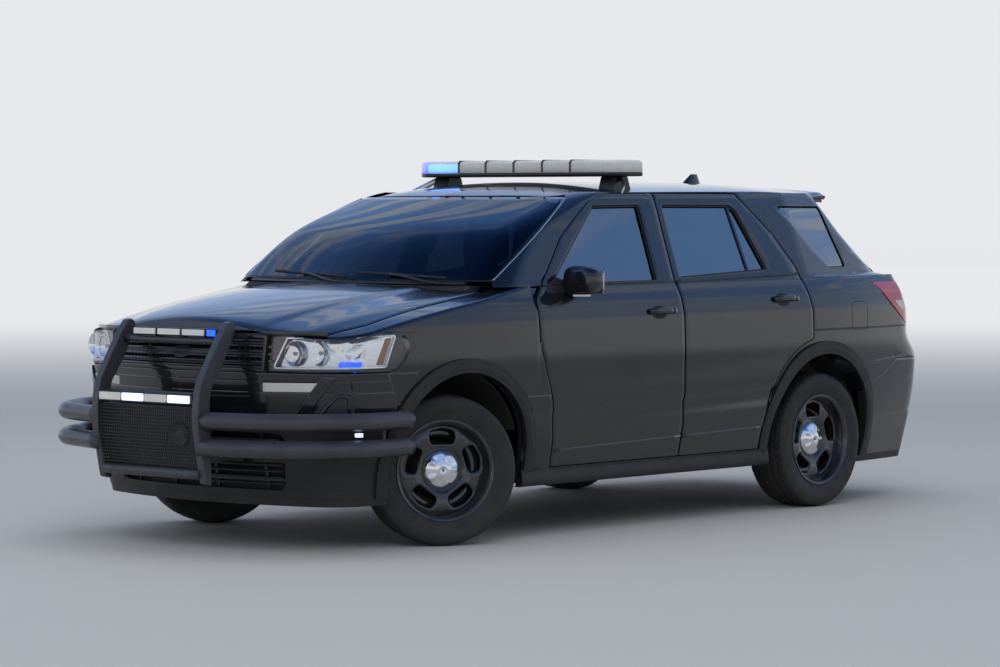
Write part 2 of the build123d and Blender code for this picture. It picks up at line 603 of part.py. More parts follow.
# Tail lamps
tail_lamp = (lower_body(-4) & tail_lean(-4)) - (lower_body(60) & tail_lean(60))
tail_lamp = tail_lamp & side_prism(offset(polygon(TAIL_LAMP), -SEAT_GAP, kind=Kind.INTERSECTION), 600, FAR)
tail_lamp = tail_lamp - front_prism(tail_grown, 3000, 4300)
keep("tail_lamps", *both_sides(tail_lamp))

# Tailgate
tail_block = front_prism(tail_face, TAIL_HINGE_Y, 4300)
tail_inner = front_prism(offset(tail_face, -INNER_IN, kind=Kind.INTERSECTION), TAIL_HINGE_Y, 4300)
tail_zone_low = box(-FAR, FAR, 3560, 4300, 0, BELT_Z)
tail_zone_high = box(-FAR, FAR, TAIL_HINGE_Y, 4300, BELT_Z, 1800)
tail_wall = low_core - (lower_body(80) & tail_lean(80))
tail_low = (rear_skin & tail_zone_low & tail_block) + (tail_wall & tail_zone_low & tail_inner)
tail_high = ((high_skin & tail_zone_high) & tail_block) + ((high_wall & tail_zone_high) & tail_inner)
tail_window = rounded([(-672, 1305), (672, 1305), (596, 1628), (-596, 1628)], [45] * 4)
spoiler_plan = make_face([ThreePointArc((-630, 3320), (0, 3478), (630, 3320)), Polyline((630, 3320), (630, 3200),
                                                                                      (-630, 3200), (-630, 3320))])
spoiler = (crowned_block(CROWN, ROOF_EDGE_X, 1000.0, 1100.0, 4.0)
           - crowned_block(CROWN, ROOF_EDGE_X, 1000.0, 1000.0, 34.0)) & extrude(spoiler_plan, amount=2000)
tailgate = tail_low + tail_high + spoiler - front_prism(tail_window, 3000, 4300)
keep("tailgate", tailgate)
keep("tailgate_glass", (glass_outer - glass_core) & front_prism(offset(tail_window, -SEAT_GAP), 3000, 4300))

# Fixed glass
windshield = (flush_outer - flush_core) & front_prism(offset(windshield_face, -SEAT_GAP), -200, 1400)
quarter_glass = (flush_outer - flush_core) & side_prism(offset(quarter_window, -SEAT_GAP), 100, FAR)
keep("fixed_glass", windshield, *both_sides(quarter_glass))

# Floor
FLOOR_Z = 300.0
floor = box(-ROCKER_IN_X, ROCKER_IN_X, 432, 2330, FLOOR_Z, FLOOR_Z + 30)
floor = floor + box(-150, 150, 432, 2330, FLOOR_Z, 470) - box(-125, 125, 400, 2400, FLOOR_Z - 5, 445)
floor = floor + box(-690, 690, 2310, 2340, FLOOR_Z, 590) + box(-690, 690, 2310, 3860, 560, 590)
floor = floor + box(-790, 790, 432, 450, FLOOR_Z, 1110) + box(-770, 770, 120, 450, 1080, 1110)
floor = floor + box(-590, 590, 3830, 3860, 380, 776)
for side in (1, -1):
    liner = wheel_cylinder(WHEELBASE, ARCH_Z, ARCH_R + 18, side * 690, side * 862) \
        - wheel_cylinder(WHEELBASE, ARCH_Z, ARCH_R + 3, side * 600, side * 900)
    wall = wheel_cylinder(WHEELBASE, ARCH_Z, ARCH_R + 18, side * 690, side * 706)
    floor = floor + (liner & box(-FAR, FAR, 2000, 4000, 400, 1000)) + (wall & box(-FAR, FAR, 2000, 4000, 560, 1000))
cowl = (cabin_body(8) - cabin_body(70)) & box(-780, 780, -100, 330, 1195, 1238)
floor = floor + ((box(-760, 760, 200, 230, 1080, 1220) + cowl) - hood_room)
keep("floor_pan", floor)

# Front frame with lower arms and struts
RAIL_X = (400.0, 470.0)
frame = box(-500, 500, BEAM_Y, BEAM_Y + 50, 400, 560) + box(-560, 560, -660, -630, 300, 960)
for side in (1, -1):
    rail = box(side * RAIL_X[0], side * RAIL_X[1], -780, 431.7, 400, 520)
    drop = box(side * RAIL_X[0], side * RAIL_X[1], 100, 220, 225, 420)
    arm = box(side * 430, side * (KINGPIN_X + 20), -35, 35, 205, 240)
    arm_rear = box(side * 430, side * 560, -35, 220, 225, 240)
    strut = rod((side * 620, 0, 230), (side * 600, 0, 840), 28)
    liner = wheel_cylinder(0, ARCH_Z, ARCH_R + 15, side * 490, side * 905) \
        - wheel_cylinder(0, ARCH_Z, ARCH_R + 3, side * 502, side * FAR)
    liner = (liner & box(-FAR, FAR, -700, 431.7, 420, 1000)) & lower_body(BUMPER_WALL + 2)
    frame = frame + rail + drop + arm + arm_rear + strut + (liner + box(side * 470, side * 500, -300, 300, 420, 520))
frame = frame + box(-450, 450, -60, 240, 225, 300)
for x in (-400, 400):
    frame = frame + (rod((x, -645, 950), (x, -645, 1200), 14) & crowned_block(DECK, HOOD_EDGE_X, 1100.0, 0.0,
                                                                          HOOD_DEPTH + SEAT_GAP))
keep("front_frame", frame)

# Engine, one plain block
engine = box(-300, 300, -430, 200, 340, 1000)
for side in (1, -1):
    engine = engine + box(side * 290, side * (RAIL_X[0] - SEAT_GAP), -120, 0, 430, 500)
keep("engine_block", engine)

# Rear suspension
rear_frame = box(-480, 480, 2760, 2960, 240, 330)
for side in (1, -1):
    for y in (2790, 2930):
        rear_frame = rear_frame + rod((side * 430, y, 320), (side * 430, y, 560 - SEAT_GAP), 30)
        rear_frame = rear_frame + rod((side * 440, y, 270), (side * 720, WHEELBASE + (y - WHEELBASE) * 0.5, 270), 18)
    rear_frame = rear_frame + box(side * 690, side * 730, 2800, 2920, 240, 420)
    rear_frame = rear_frame + wheel_cylinder(WHEELBASE, TYRE_R, 50, side * 720,
                                             side * (TRACK / 2 - 45 - RUN_GAP))
    rear_frame = rear_frame + rod((side * 600, 2860, 280), (side * 600, 2860, 560 - SEAT_GAP), 45)
    rear_frame = rear_frame + box(side * 560, side * 640, 2800, 2920, 250, 290)
keep("rear_subframe", rear_frame)

# Exhaust
pipe_path = FilletPolyline((-220, 300, 205), (-220, 2300, 205), (-420, 3100, 205), (-420, 3860, 205), radius=200)
exhaust = sweep(Plane(origin=pipe_path @ 0, z_dir=pipe_path % 0) * Circle(28), path=pipe_path)
exhaust = exhaust + fillet(box(-620, -220, 3330, 3560, 150, 330).edges(), 40)
for x, y, top in ((-220, 900, FLOOR_Z), (-220, 1900, FLOOR_Z), (-500, 3440, 560), (-420, 3800, 560)):
    exhaust = exhaust + rod((x, y, 205), (x, y, top - SEAT_GAP), 8)
keep("exhaust", exhaust)


# Wheels
def wheel_shape():
    """Pressed steel wheel with its hub and brake disc, on the X axis, outer face towards +X."""
    half = RIM_WIDTH / 2
    rim = make_face(Polyline((-half - 7, FLANGE_R), (-half - SEAT_GAP, FLANGE_R), (-half - SEAT_GAP, RIM_R),
                             (half + SEAT_GAP, RIM_R), (half + SEAT_GAP, FLANGE_R), (half + 7, FLANGE_R),
                             (half + 7, RIM_R - 14), (-half - 7, RIM_R - 14), close=True))
    disc = make_face(Polyline((HUB_FACE, 0), (HUB_FACE, 88), (52, 122), (60, 180), (46, RIM_R - 6),
                              (56, RIM_R - 6), (69, 180), (61, 118), (HUB_FACE + 9, 85), (HUB_FACE + 9, 0),
                              close=True))
    hub = make_face(Polyline((-45, 0), (-45, 165), (-19, 165), (-19, HUB_R), (HUB_FACE + 1, HUB_R),
                             (HUB_FACE + 1, 0), close=True))
    solid = revolve(rim, Axis.X) + revolve(disc, Axis.X) + revolve(hub, Axis.X)
    slot = Plane(origin=(HUB_FACE + 5, 0, 0), x_dir=(0, 1, 0), z_dir=(1, 0, 0)) * (
        Pos(0, 158) * SlotOverall(92, 44))
    for index in range(5):
        solid = solid - Rot(index * 72, 0, 0) * extrude(slot, amount=60)
    cap = revolve(make_face(Polyline((HUB_FACE + 8, 0), (HUB_FACE + 8, 84), (HUB_FACE + 26, 80),
                                     (HUB_FACE + 38, 40), (HUB_FACE + 40, 0), close=True)), Axis.X)
    return solid + cap


def tyre_shape():
    """Tyre on the X axis."""
    w = TYRE_WIDTH / 2
    bead = RIM_WIDTH / 2
    return revolve(make_face(Polyline((-bead, RIM_R + SEAT_GAP), (bead, RIM_R + SEAT_GAP), (bead, FLANGE_R + 3),
                                      (w - 8, 270), (w, 305), (w - 3, 335), (w - 14, 356), (w - 28, TYRE_R),
                                      (-w + 28, TYRE_R), (-w + 14, 356), (-w + 3, 335), (-w, 305), (-w + 8, 270),
                                      (-bead, FLANGE_R + 3), close=True)), Axis.X)


wheel = wheel_shape()
tyre = tyre_shape()
# Knuckle: an upright that turns on a round kingpin, and the spindle that carries the hub
KNUCKLE_Z = (240 + SEAT_GAP, 520.0)
KINGPIN_R = 22.0
knuckle_left = box(-15, 15, -40, 40, *KNUCKLE_Z) \
    + wheel_cylinder(0, TYRE_R, 50, 10, TRACK / 2 - KINGPIN_X - 45 - RUN_GAP) \
    + rod((0, 0, KNUCKLE_Z[0]), (0, 0, KNUCKLE_Z[1] + 20), KINGPIN_R)
for end, axle_y in (("front", 0), ("rear", WHEELBASE)):
    for side, sign in (("left", 1), ("right", -1)):
        turn = Rot(0, 0, 0 if sign > 0 else 180)
        if end == "front":
            place = Pos(sign * KINGPIN_X, 0, 0) * Rot(0, 0, STEER_REST) * Pos(sign * (TRACK / 2 - KINGPIN_X), 0,
                                                                             TYRE_R)
            knuckle_place = Pos(sign * KINGPIN_X, 0, 0) * Rot(0, 0, STEER_REST)
            keep(f"knuckle_{side}", knuckle_place * turn * knuckle_left)
        else:
            place = Pos(sign * TRACK / 2, axle_y, TYRE_R)
        keep(f"wheel_{end}_{side}", place * turn * wheel)
        keep(f"tyre_{end}_{side}", place * turn * tyre)


# Seats, dashboard and partition
def seat(x, width, y, back_y, head):
    """A seat with its cushion, back, base and head restraint."""
    half = width / 2
    cushion = fillet(box(x - half, x + half, y, y + 520, 600, 740).edges(), 40)
    back = fillet(side_prism(polygon([(y + 440, 640), (y + 560, 640), (back_y, 1290), (back_y - 110, 1290)]),
                             x - half, x + half).edges(), 35)
    base = box(x - half * 0.6, x + half * 0.6, y + 60, y + 340, FLOOR_Z + 30 + SEAT_GAP, 640)
    rest = fillet(box(x - head, x + head, back_y - 110, back_y - 10, 1330, 1500).edges(), 35)
    post = box(x - 40, x + 40, back_y - 80, back_y - 40, 1240, 1350)
    return cushion + back + base + rest + post


rear_bench = seat(0, 1240, 1960, 2600, 120) - box(-152, 152, 1900, 2500, 0, 472)
keep("seats", seat(370, 500, 1040, 1690, 130), seat(-370, 500, 1040, 1690, 130), rear_bench)
dash_face = polygon([(450 + SEAT_GAP, 760), (450 + SEAT_GAP, 1105), (620, 1150), (880, 1090), (920, 980), (780, 800)])
dash = side_prism(dash_face, -800, 800)
wheel_centre = Pos(370, 985, 1010) * Rot(-62, 0, 0)
steering = wheel_centre * (Torus(180, 15) + Cylinder(60, 36) + Box(350, 32, 14) + Pos(0, 0, -70) * Cylinder(28, 160))
keep("dashboard", dash + steering)
partition = front_prism(polygon([(-690, FLOOR_Z + 30 + SEAT_GAP), (690, FLOOR_Z + 30 + SEAT_GAP), (690, 1240),
                                 (610, 1640), (-610, 1640), (-690, 1240)]), 1790, 1812)
partition = partition - box(-152, 152, 1700, 1900, 0, 472)
for side in (1, -1):
    partition = partition - box(side * 30, side * 620, 1700, 1900, 980, 1560)
keep("partition", partition)

# Light bar
bar_plan = make_face(FilletPolyline((-730, 1500), (-640, 1440), (640, 1440), (730, 1500), (730, 1640), (640, 1700),
                                    (-640, 1700), (-730, 1640), radius=28, close=True))
light_bar = extrude(Pos(0, 0, 1800) * bar_plan, amount=70)
keep("light_bar", fillet(light_bar.edges().filter_by(Plane.XY).group_by(Axis.Z)[-1], 18))
bar_base = extrude(Pos(0, 0, 1782) * offset(bar_plan, -6), amount=18 - SEAT_GAP)
for x in (-600, 600):
    foot = box(x - 60, x + 60, 1500, 1640, 1690, 1785)
    bar_base = bar_base + (foot - crowned_block(CROWN, ROOF_EDGE_X, 1000.0, 1100.0, -SEAT_GAP))
keep("light_bar_mount", bar_base)

write_parts()
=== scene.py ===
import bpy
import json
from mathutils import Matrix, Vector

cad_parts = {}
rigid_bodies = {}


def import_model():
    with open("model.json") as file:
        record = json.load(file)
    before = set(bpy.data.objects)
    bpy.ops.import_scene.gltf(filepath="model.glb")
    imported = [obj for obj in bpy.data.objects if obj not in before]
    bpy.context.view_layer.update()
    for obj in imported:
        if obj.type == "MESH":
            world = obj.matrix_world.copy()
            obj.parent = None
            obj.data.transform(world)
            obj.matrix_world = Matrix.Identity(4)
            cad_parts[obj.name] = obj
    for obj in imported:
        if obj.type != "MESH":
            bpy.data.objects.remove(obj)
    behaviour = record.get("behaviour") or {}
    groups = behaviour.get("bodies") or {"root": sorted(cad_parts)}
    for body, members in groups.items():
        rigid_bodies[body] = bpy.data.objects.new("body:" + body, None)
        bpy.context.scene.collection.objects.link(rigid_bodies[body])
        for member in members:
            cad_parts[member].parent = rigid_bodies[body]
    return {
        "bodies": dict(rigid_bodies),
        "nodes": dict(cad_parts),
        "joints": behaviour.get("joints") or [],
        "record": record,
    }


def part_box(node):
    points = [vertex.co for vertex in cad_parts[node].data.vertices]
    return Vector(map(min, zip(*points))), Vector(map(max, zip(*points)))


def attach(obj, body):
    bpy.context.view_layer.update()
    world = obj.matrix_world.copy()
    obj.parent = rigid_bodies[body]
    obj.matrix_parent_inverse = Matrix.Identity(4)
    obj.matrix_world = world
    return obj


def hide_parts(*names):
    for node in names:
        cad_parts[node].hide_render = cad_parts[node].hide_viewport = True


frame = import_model()

"""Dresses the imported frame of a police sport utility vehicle.

Shapes are worked out in millimetres from the front axle, X to the vehicle's left, Y to its rear and Z up from
the road, and placed in the frame when their mesh is made.
"""
import json
import logging
import math
from dataclasses import dataclass, field
from enum import Enum
from functools import partial
from typing import Callable, Mapping, Optional, Sequence, Union

import bmesh
import bpy
import numpy as np
from mathutils import Vector

LOG = logging.getLogger("vehicle")
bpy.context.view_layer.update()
Points = Sequence[Sequence[float]]
Amount = Union[float, np.ndarray]
Surface = Callable[[np.ndarray, np.ndarray], np.ndarray]

# Sizes of the vehicle, in millimetres from the front axle and the road
WHEELBASE = 2860.0
TRACK = 1702.0
TYRE_R = 363.5
TYRE_WIDTH = 245.0
STEER_REST = math.radians(-29)
KINGPIN_X = 760.0
SIDE_X = 1003.0
ARCH_Z = 375.0
SHUT_GAP = 8.0
BELT_Z = 1245.0
TAIL_TIP = 3935.0
BUMPER_TIP = 4050.0
FRONT_ARCH_IN = 470.0
FLARE_DEPTH = 92.0
# How far painted skins stand off the frame's panels, and how thick they are
PROUD = 2.5
WALL = 3.4
# Places inside the vehicle, from which the faces of a panel point away; nan takes each face's own value
FROM_PLANE = (0, math.nan, math.nan)
FROM_AXIS = (0, math.nan, 900)
FROM_NOSE = (0, 200, 900)
FROM_CABIN = (0, 1500, 900)
# Corners of outlines that more than one panel shares, as y or x over z
LAMP_TIP: tuple[tuple[float, float], ...] = (
    (852, -500), (862, -450), (900, -402), (950, -374), (985, -374), (1028, -412), (1038, -470))
TAIL_LAMP_EDGE = ((955, 1075, 1206), (3740, 3560, 3400))
BODY = "body"
SIDES = (("left", 1.0), ("right", -1.0))
_TYRE_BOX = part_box("tyre_rear_left")
FRONT_AXLE_Y = (_TYRE_BOX[0].y + _TYRE_BOX[1].y) * 500.0 - WHEELBASE


def smooth(table_x: Sequence[float], table_y: Sequence[float], x: np.ndarray) -> np.ndarray:
    """Monotone cubic through a table.

    Each knot's slope is the harmonic mean of the two chord slopes beside it, or zero where they differ in sign.

    Args:
        table_x: rising knots.
        table_y: values at the knots.
        x: where to evaluate.

    Returns:
        The interpolated values.
    """
    tx, ty = np.asarray(table_x, float), np.asarray(table_y, float)
    chord = np.diff(ty) / np.diff(tx)
    product = chord[:-1] * chord[1:]
    total = np.where(product > 0, chord[:-1] + chord[1:], 1.0)
    inner = np.where(product > 0, 2 * product / total, 0.0)
    slope = np.concatenate([chord[:1], inner, chord[-1:]])
    x = np.clip(np.asarray(x, float), tx[0], tx[-1])
    i = np.clip(np.searchsorted(tx, x, side="right") - 1, 0, len(tx) - 2)
    h = tx[i + 1] - tx[i]
    t = (x - tx[i]) / h
    t2, t3 = t * t, t * t * t
    return ((2 * t3 - 3 * t2 + 1) * ty[i] + (t3 - 2 * t2 + t) * h * slope[i]
            + (3 * t2 - 2 * t3) * ty[i + 1] + (t3 - t2) * h * slope[i + 1])


def step(low: float, high: float, x: np.ndarray) -> np.ndarray:
    """Smooth step from 0 at low to 1 at high: 3t squared minus 2t cubed."""
    t = np.clip((np.asarray(x, float) - low) / (high - low), 0.0, 1.0)
    return t * t * (3 - 2 * t)


class Axis(Enum):
    """The axis that a plate is extruded along, by its column in a point."""

    X = 0
    Y = 1


def between(first: np.ndarray, last: np.ndarray, count: int) -> np.ndarray:
    """Rows of evenly spread values, each from its own first to its own last."""
    t = np.linspace(0, 1, count)[None]
    return np.asarray(first)[:, None] * (1 - t) + np.asarray(last)[:, None] * t


def whole_turn(count: int) -> np.ndarray:
    """Evenly spread angles once round, the last short of the first."""
    return np.linspace(0, 2 * math.pi, count, endpoint=False)


def arch_reach(radius: float, z: np.ndarray) -> np.ndarray:
    """How far a wheel arch reaches from its axle at a height, or 0 above it."""
    return np.sqrt(np.maximum(radius ** 2 - (z - ARCH_Z) ** 2, 0))


def squared(values: np.ndarray, power: float) -> np.ndarray:
    """Signed power of sines and cosines, which squares off a circle."""
    return np.sign(values) * np.abs(values) ** power


def round_corners(points: Points, radius: float, count: int = 6) -> np.ndarray:
    """Closed outline whose corners are replaced by arcs.

    Each arc touches the two edges of its corner at radius divided by the tangent of half the corner's angle.

    Args:
        points: corners of the outline.
        radius: radius of every corner, shortened where an edge is too short.
        count: spans in each arc.

    Returns:
        An array of points with two columns.
    """
    pts = np.asarray(points, float)
    out = []
    for before, here, after in zip(np.roll(pts, 1, 0), pts, np.roll(pts, -1, 0)):
        a, b = before - here, after - here
        la, lb = np.linalg.norm(a), np.linalg.norm(b)
        a, b = a / la, b / lb
        half = math.acos(float(np.clip(a @ b, -1, 1))) / 2
        if half > math.pi / 2 - 0.02:
            out.append(here)
            continue
        reach = min(radius / math.tan(half), 0.45 * la, 0.45 * lb)
        start, end = here + a * reach, here + b * reach
        for t in np.linspace(0, 1, count + 1):
            out.append((1 - t) ** 2 * start + 2 * t * (1 - t) * here + t * t * end)
    return np.array(out)


def round_box(low: Sequence[float], high: Sequence[float], radius: float) -> np.ndarray:
    """Rectangle between two opposite corners, with its corners rounded."""
    return round_corners([low, (high[0], low[1]), high, (low[0], high[1])], radius)


def grow(outline: np.ndarray, amount: float) -> np.ndarray:
    """Closed outline moved out along the mean normal of the two edges at each point."""
    edge = np.roll(outline, -1, 0) - outline
    edge /= np.maximum(np.linalg.norm(edge, axis=1, keepdims=True), 1e-6)
    normal = np.stack([edge[:, 1], -edge[:, 0]], 1)
    area = np.sum(outline[:, 0] * np.roll(outline[:, 1], -1) - np.roll(outline[:, 0], -1) * outline[:, 1])
    mean = normal + np.roll(normal, 1, 0)
    mean /= np.maximum(np.linalg.norm(mean, axis=1, keepdims=True), 1e-6)
    return outline + mean * (amount if area > 0 else -amount)


def rays(outline: np.ndarray, centre: Sequence[float], angles: np.ndarray) -> np.ndarray:
    """Points where rays from a centre leave an outline that the whole of the centre can see.

    Args:
        outline: closed outline.
        centre: where the rays start.
        angles: direction of each ray.

    Returns:
        One point per ray.
    """
    a = outline - np.asarray(centre, float)
    b = np.roll(a, -1, 0)
    d = np.stack([np.cos(angles), np.sin(angles)], 1)[:, None, :]
    e = (b - a)[None]
    cross = d[..., 0] * e[..., 1] - d[..., 1] * e[..., 0]
    safe = np.where(np.abs(cross) < 1e-9, 1e-9, cross)
    t = (a[None, :, 0] * e[..., 1] - a[None, :, 1] * e[..., 0]) / safe
    s = (a[None, :, 0] * d[..., 1] - a[None, :, 1] * d[..., 0]) / safe
    hit = (s >= -1e-6) & (s <= 1 + 1e-6) & (t > 0) & (np.abs(cross) > 1e-9)
    reach = np.where(hit, t, 0).max(1)
    return np.asarray(centre, float) + d[:, 0] * reach[:, None]


def ring_angles(centre: Sequence[float], count: int, *outlines: np.ndarray) -> np.ndarray:
    """Evenly spread angles about a centre, with every outline point's own angle added."""
    extra = [np.arctan2(*(o - np.asarray(centre, float)).T[::-1]) for o in outlines]
    angles = np.concatenate([np.linspace(-math.pi, math.pi, count, endpoint=False), *extra])
    angles = np.unique(np.round(angles, 4))
    return angles[np.concatenate([[True], np.diff(angles) > 0.004])]


class Make:
    """Turns arrays of points into named meshes that ride on a body."""

    made: int = 0

    @staticmethod
    def mesh(name: str, verts: np.ndarray, faces: Sequence[Sequence[int]], material: Optional["Finish"],
             body: str, flat: bool = False) -> bpy.types.Object:
        """A mesh object from points in millimetres from the front axle.

        Args:
            name: the object's name.
            verts: array of points with three columns.
            faces: index lists or an index array.
            material: its finish, or None.
            body: the body it rides on.
            flat: True for flat shading.

        Returns:
            The new object.
        """
        mesh = bpy.data.meshes.new(name)
        placed = (np.asarray(verts, float) + (0.0, FRONT_AXLE_Y, 0.0)) / 1000.0
        mesh.from_pydata(placed.tolist(), [], [list(map(int, f)) for f in faces])
        mesh.update()
        if not flat:
            mesh.polygons.foreach_set("use_smooth", np.ones(len(mesh.polygons), bool))
        obj = bpy.data.objects.new(name, mesh)
        bpy.context.scene.collection.objects.link(obj)
        if material is not None:
            mesh.materials.append(material.build())
        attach(obj, body)
        Make.made += 1
        return obj

    @staticmethod
    def quads(rows: int, cols: int, close_cols: bool = False) -> np.ndarray:
        """Faces of a grid of points stored row by row, joined round the columns when closed."""
        r = np.arange(rows - 1)[:, None]
        c = np.arange(cols if close_cols else cols - 1)[None]
        n = (c + 1) % cols
        return np.stack([r * cols + c, r * cols + n, (r + 1) * cols + n, (r + 1) * cols + c],
                        -1).reshape(-1, 4)

    @staticmethod
    def outward(verts: np.ndarray, faces: np.ndarray, away: Sequence[float]) -> np.ndarray:
        """The faces, turned so that their mean normal points away from a point or a core line.

        Args:
            verts: points of the mesh.
            faces: quads.
            away: a point inside; a coordinate that is not a number takes each face's own value.

        Returns:
            The faces in the right order.
        """
        p = verts[faces]
        normal = np.cross(p[:, 2] - p[:, 0], p[:, 3] - p[:, 1])
        middle = p.mean(1)
        core = np.where(np.isnan(np.asarray(away, float)), middle, np.asarray(away, float))
        return faces if np.sum(normal * (middle - core)) >= 0 else faces[:, ::-1]

    @staticmethod
    def sheet(name: str, grids: Sequence[np.ndarray], material: "Finish", body: str, thick: float = 3.0,
              away: Sequence[float] = FROM_AXIS, bevel: float = 1.2, closed: bool = False) -> bpy.types.Object:
        """A panel: one or more grids sewn together, thickened inwards, with its edges rounded.

        Args:
            name: the object's name.
            grids: arrays of rows by columns by three.
            material: its finish.
            body: the body it rides on.
            thick: wall in millimetres, or 0 for a bare surface.
            away: the inside, from which the faces point away.
            bevel: radius of its edges in millimetres.
            closed: True where the columns of every grid close.

        Returns:
            The new object.
        """
        verts, faces = [], []
        start = 0
        for points in grids:
            rows, cols = points.shape[:2]
            flat_points = points.reshape(-1, 3)
            verts.append(flat_points)
            faces.append(Make.outward(flat_points, Make.quads(rows, cols, closed), away) + start)
            start += rows * cols
        obj = Make.mesh(name, np.concatenate(verts), np.concatenate(faces), material, body)
        sew(obj)
        if thick:
            wall = obj.modifiers.new("wall", "SOLIDIFY")
            wall.thickness, wall.offset, wall.use_even_offset = thick / 1000, -1.0, False
        if bevel:
            edge = obj.modifiers.new("edge", "BEVEL")
            edge.width, edge.segments, edge.limit_method = bevel / 1000, 2, "ANGLE"
            edge.angle_limit = math.radians(50)
        return obj

    @staticmethod
    def ring(name: str, grid: np.ndarray, material: "Finish", body: str, thick: float = 3.0,
             away: Sequence[float] = FROM_AXIS, bevel: float = 1.2) -> bpy.types.Object:
        """A panel of one grid whose columns close, such as a pane or a frame."""
        return Make.sheet(name, [grid], material, body, thick, away, bevel, closed=True)

    @staticmethod
    def tube(name: str, path: Points, radius: float, material: "Finish", body: str, sides: int = 20,
             squash: float = 1.0) -> bpy.types.Object:
        """A round bar along a path, its ends closed.

        Each ring stands across the path; its two directions are carried along so that it does not twist.

        Args:
            name: the object's name.
            path: points of the centre line.
            radius: radius in millimetres.
            material: its finish.
            body: the body it rides on.
            sides: points in each ring.
            squash: width across divided by height.

        Returns:
            The new object.
        """
        rings = tube_rings(np.asarray(path, float), radius, sides, squash)
        return Make.closed(name, rings, material, body)

    @staticmethod
    def closed(name: str, rings: np.ndarray, material: "Finish", body: str, flat: bool = False) -> bpy.types.Object:
        """A closed solid from rings of points, with a face over each end, turned to point outwards."""
        rows, cols = rings.shape[:2]
        verts = rings.reshape(-1, 3)
        faces = Make.quads(rows, cols, True)
        p = verts[faces]
        volume = np.sum((p[:, 0] - verts.mean(0)) * np.cross(p[:, 2] - p[:, 0], p[:, 3] - p[:, 1]))
        first, last = list(range(cols))[::-1], list(range((rows - 1) * cols, rows * cols))
        polys = [list(f) for f in faces] + [first, last]
        if volume < 0:
            polys = [f[::-1] for f in polys]
        return Make.mesh(name, verts, polys, material, body, flat)

    @staticmethod
    def prism(name: str, outline: np.ndarray, axis: Axis, low: float, high: float, material: "Finish", body: str,
              bevel: float = 2.0) -> bpy.types.Object:
        """A plate with a given outline.

        Args:
            name: the object's name.
            outline: closed outline in the two other axes, in X, Y, Z order.
            axis: the axis it is extruded along.
            low: where it starts.
            high: where it ends.
            material: its finish.
            body: the body it rides on.
            bevel: radius of its edges in millimetres.

        Returns:
            The new object.
        """
        rings = np.stack([np.insert(outline, axis.value, value, axis=1) for value in (low, high)])
        obj = Make.closed(name, rings, material, body, flat=True)
        if bevel:
            edge = obj.modifiers.new("edge", "BEVEL")
            edge.width, edge.segments, edge.limit_method = bevel / 1000, 3, "ANGLE"
            edge.angle_limit = math.radians(40)
        return obj


def sew(obj: bpy.types.Object) -> None:
    """Merges doubled points of a mesh so that its grids are one surface."""
    work = bmesh.new()
    work.from_mesh(obj.data)
    bmesh.ops.remove_doubles(work, verts=work.verts, dist=2e-5)
    bmesh.ops.dissolve_degenerate(work, edges=work.edges, dist=1e-6)
    work.to_mesh(obj.data)
    work.free()
    obj.data.update()


def tube_rings(path: np.ndarray, radius: float, sides: int, squash: float = 1.0) -> np.ndarray:
    """Rings of points across a path, carried along it without a twist."""
    tangent = np.gradient(path, axis=0)
    tangent /= np.linalg.norm(tangent, axis=1, keepdims=True)
    up = np.array([0.0, 0.0, 1.0]) if abs(tangent[0][2]) < 0.9 else np.array([0.0, 1.0, 0.0])
    across = []
    for t in tangent:
        up = up - t * (up @ t)
        up /= np.linalg.norm(up)
        across.append(up)
    across = np.array(across)
    side = np.cross(tangent, across)
    turn = np.linspace(0, 2 * math.pi, sides, endpoint=False)
    return (path[:, None] + radius * (np.cos(turn)[None, :, None] * across[:, None]
                                      + squash * np.sin(turn)[None, :, None] * side[:, None]))


def curve_path(points: Points, count: int = 60) -> np.ndarray:
    """Smooth path through points, each coordinate a monotone cubic of the chord length."""
    pts = np.asarray(points, float)
    length = np.concatenate([[0], np.cumsum(np.linalg.norm(np.diff(pts, axis=0), axis=1))])
    s = np.linspace(0, length[-1], count)
    return np.stack([smooth(length, pts[:, k], s) for k in range(3)], 1)


def bend_path(points: Points, radius: float, count: int = 8) -> np.ndarray:
    """Straight runs joined by arcs of a radius, in three dimensions."""
    pts = np.asarray(points, float)
    out = [pts[0]]
    for before, here, after in zip(pts, pts[1:], pts[2:]):
        a, b = before - here, after - here
        la, lb = np.linalg.norm(a), np.linalg.norm(b)
        a, b = a / la, b / lb
        half = math.acos(float(np.clip(a @ b, -1, 1))) / 2
        reach = min(radius / math.tan(half), 0.48 * la, 0.48 * lb)
        start, end = here + a * reach, here + b * reach
        out += [(1 - t) ** 2 * start + 2 * t * (1 - t) * here + t * t * end for t in np.linspace(0, 1, count)]
    out.append(pts[-1])
    return np.array(out)


def mirrored(points: np.ndarray, sign: float) -> np.ndarray:
    """Points with x multiplied by a sign."""
    return points * (sign, 1.0, 1.0)


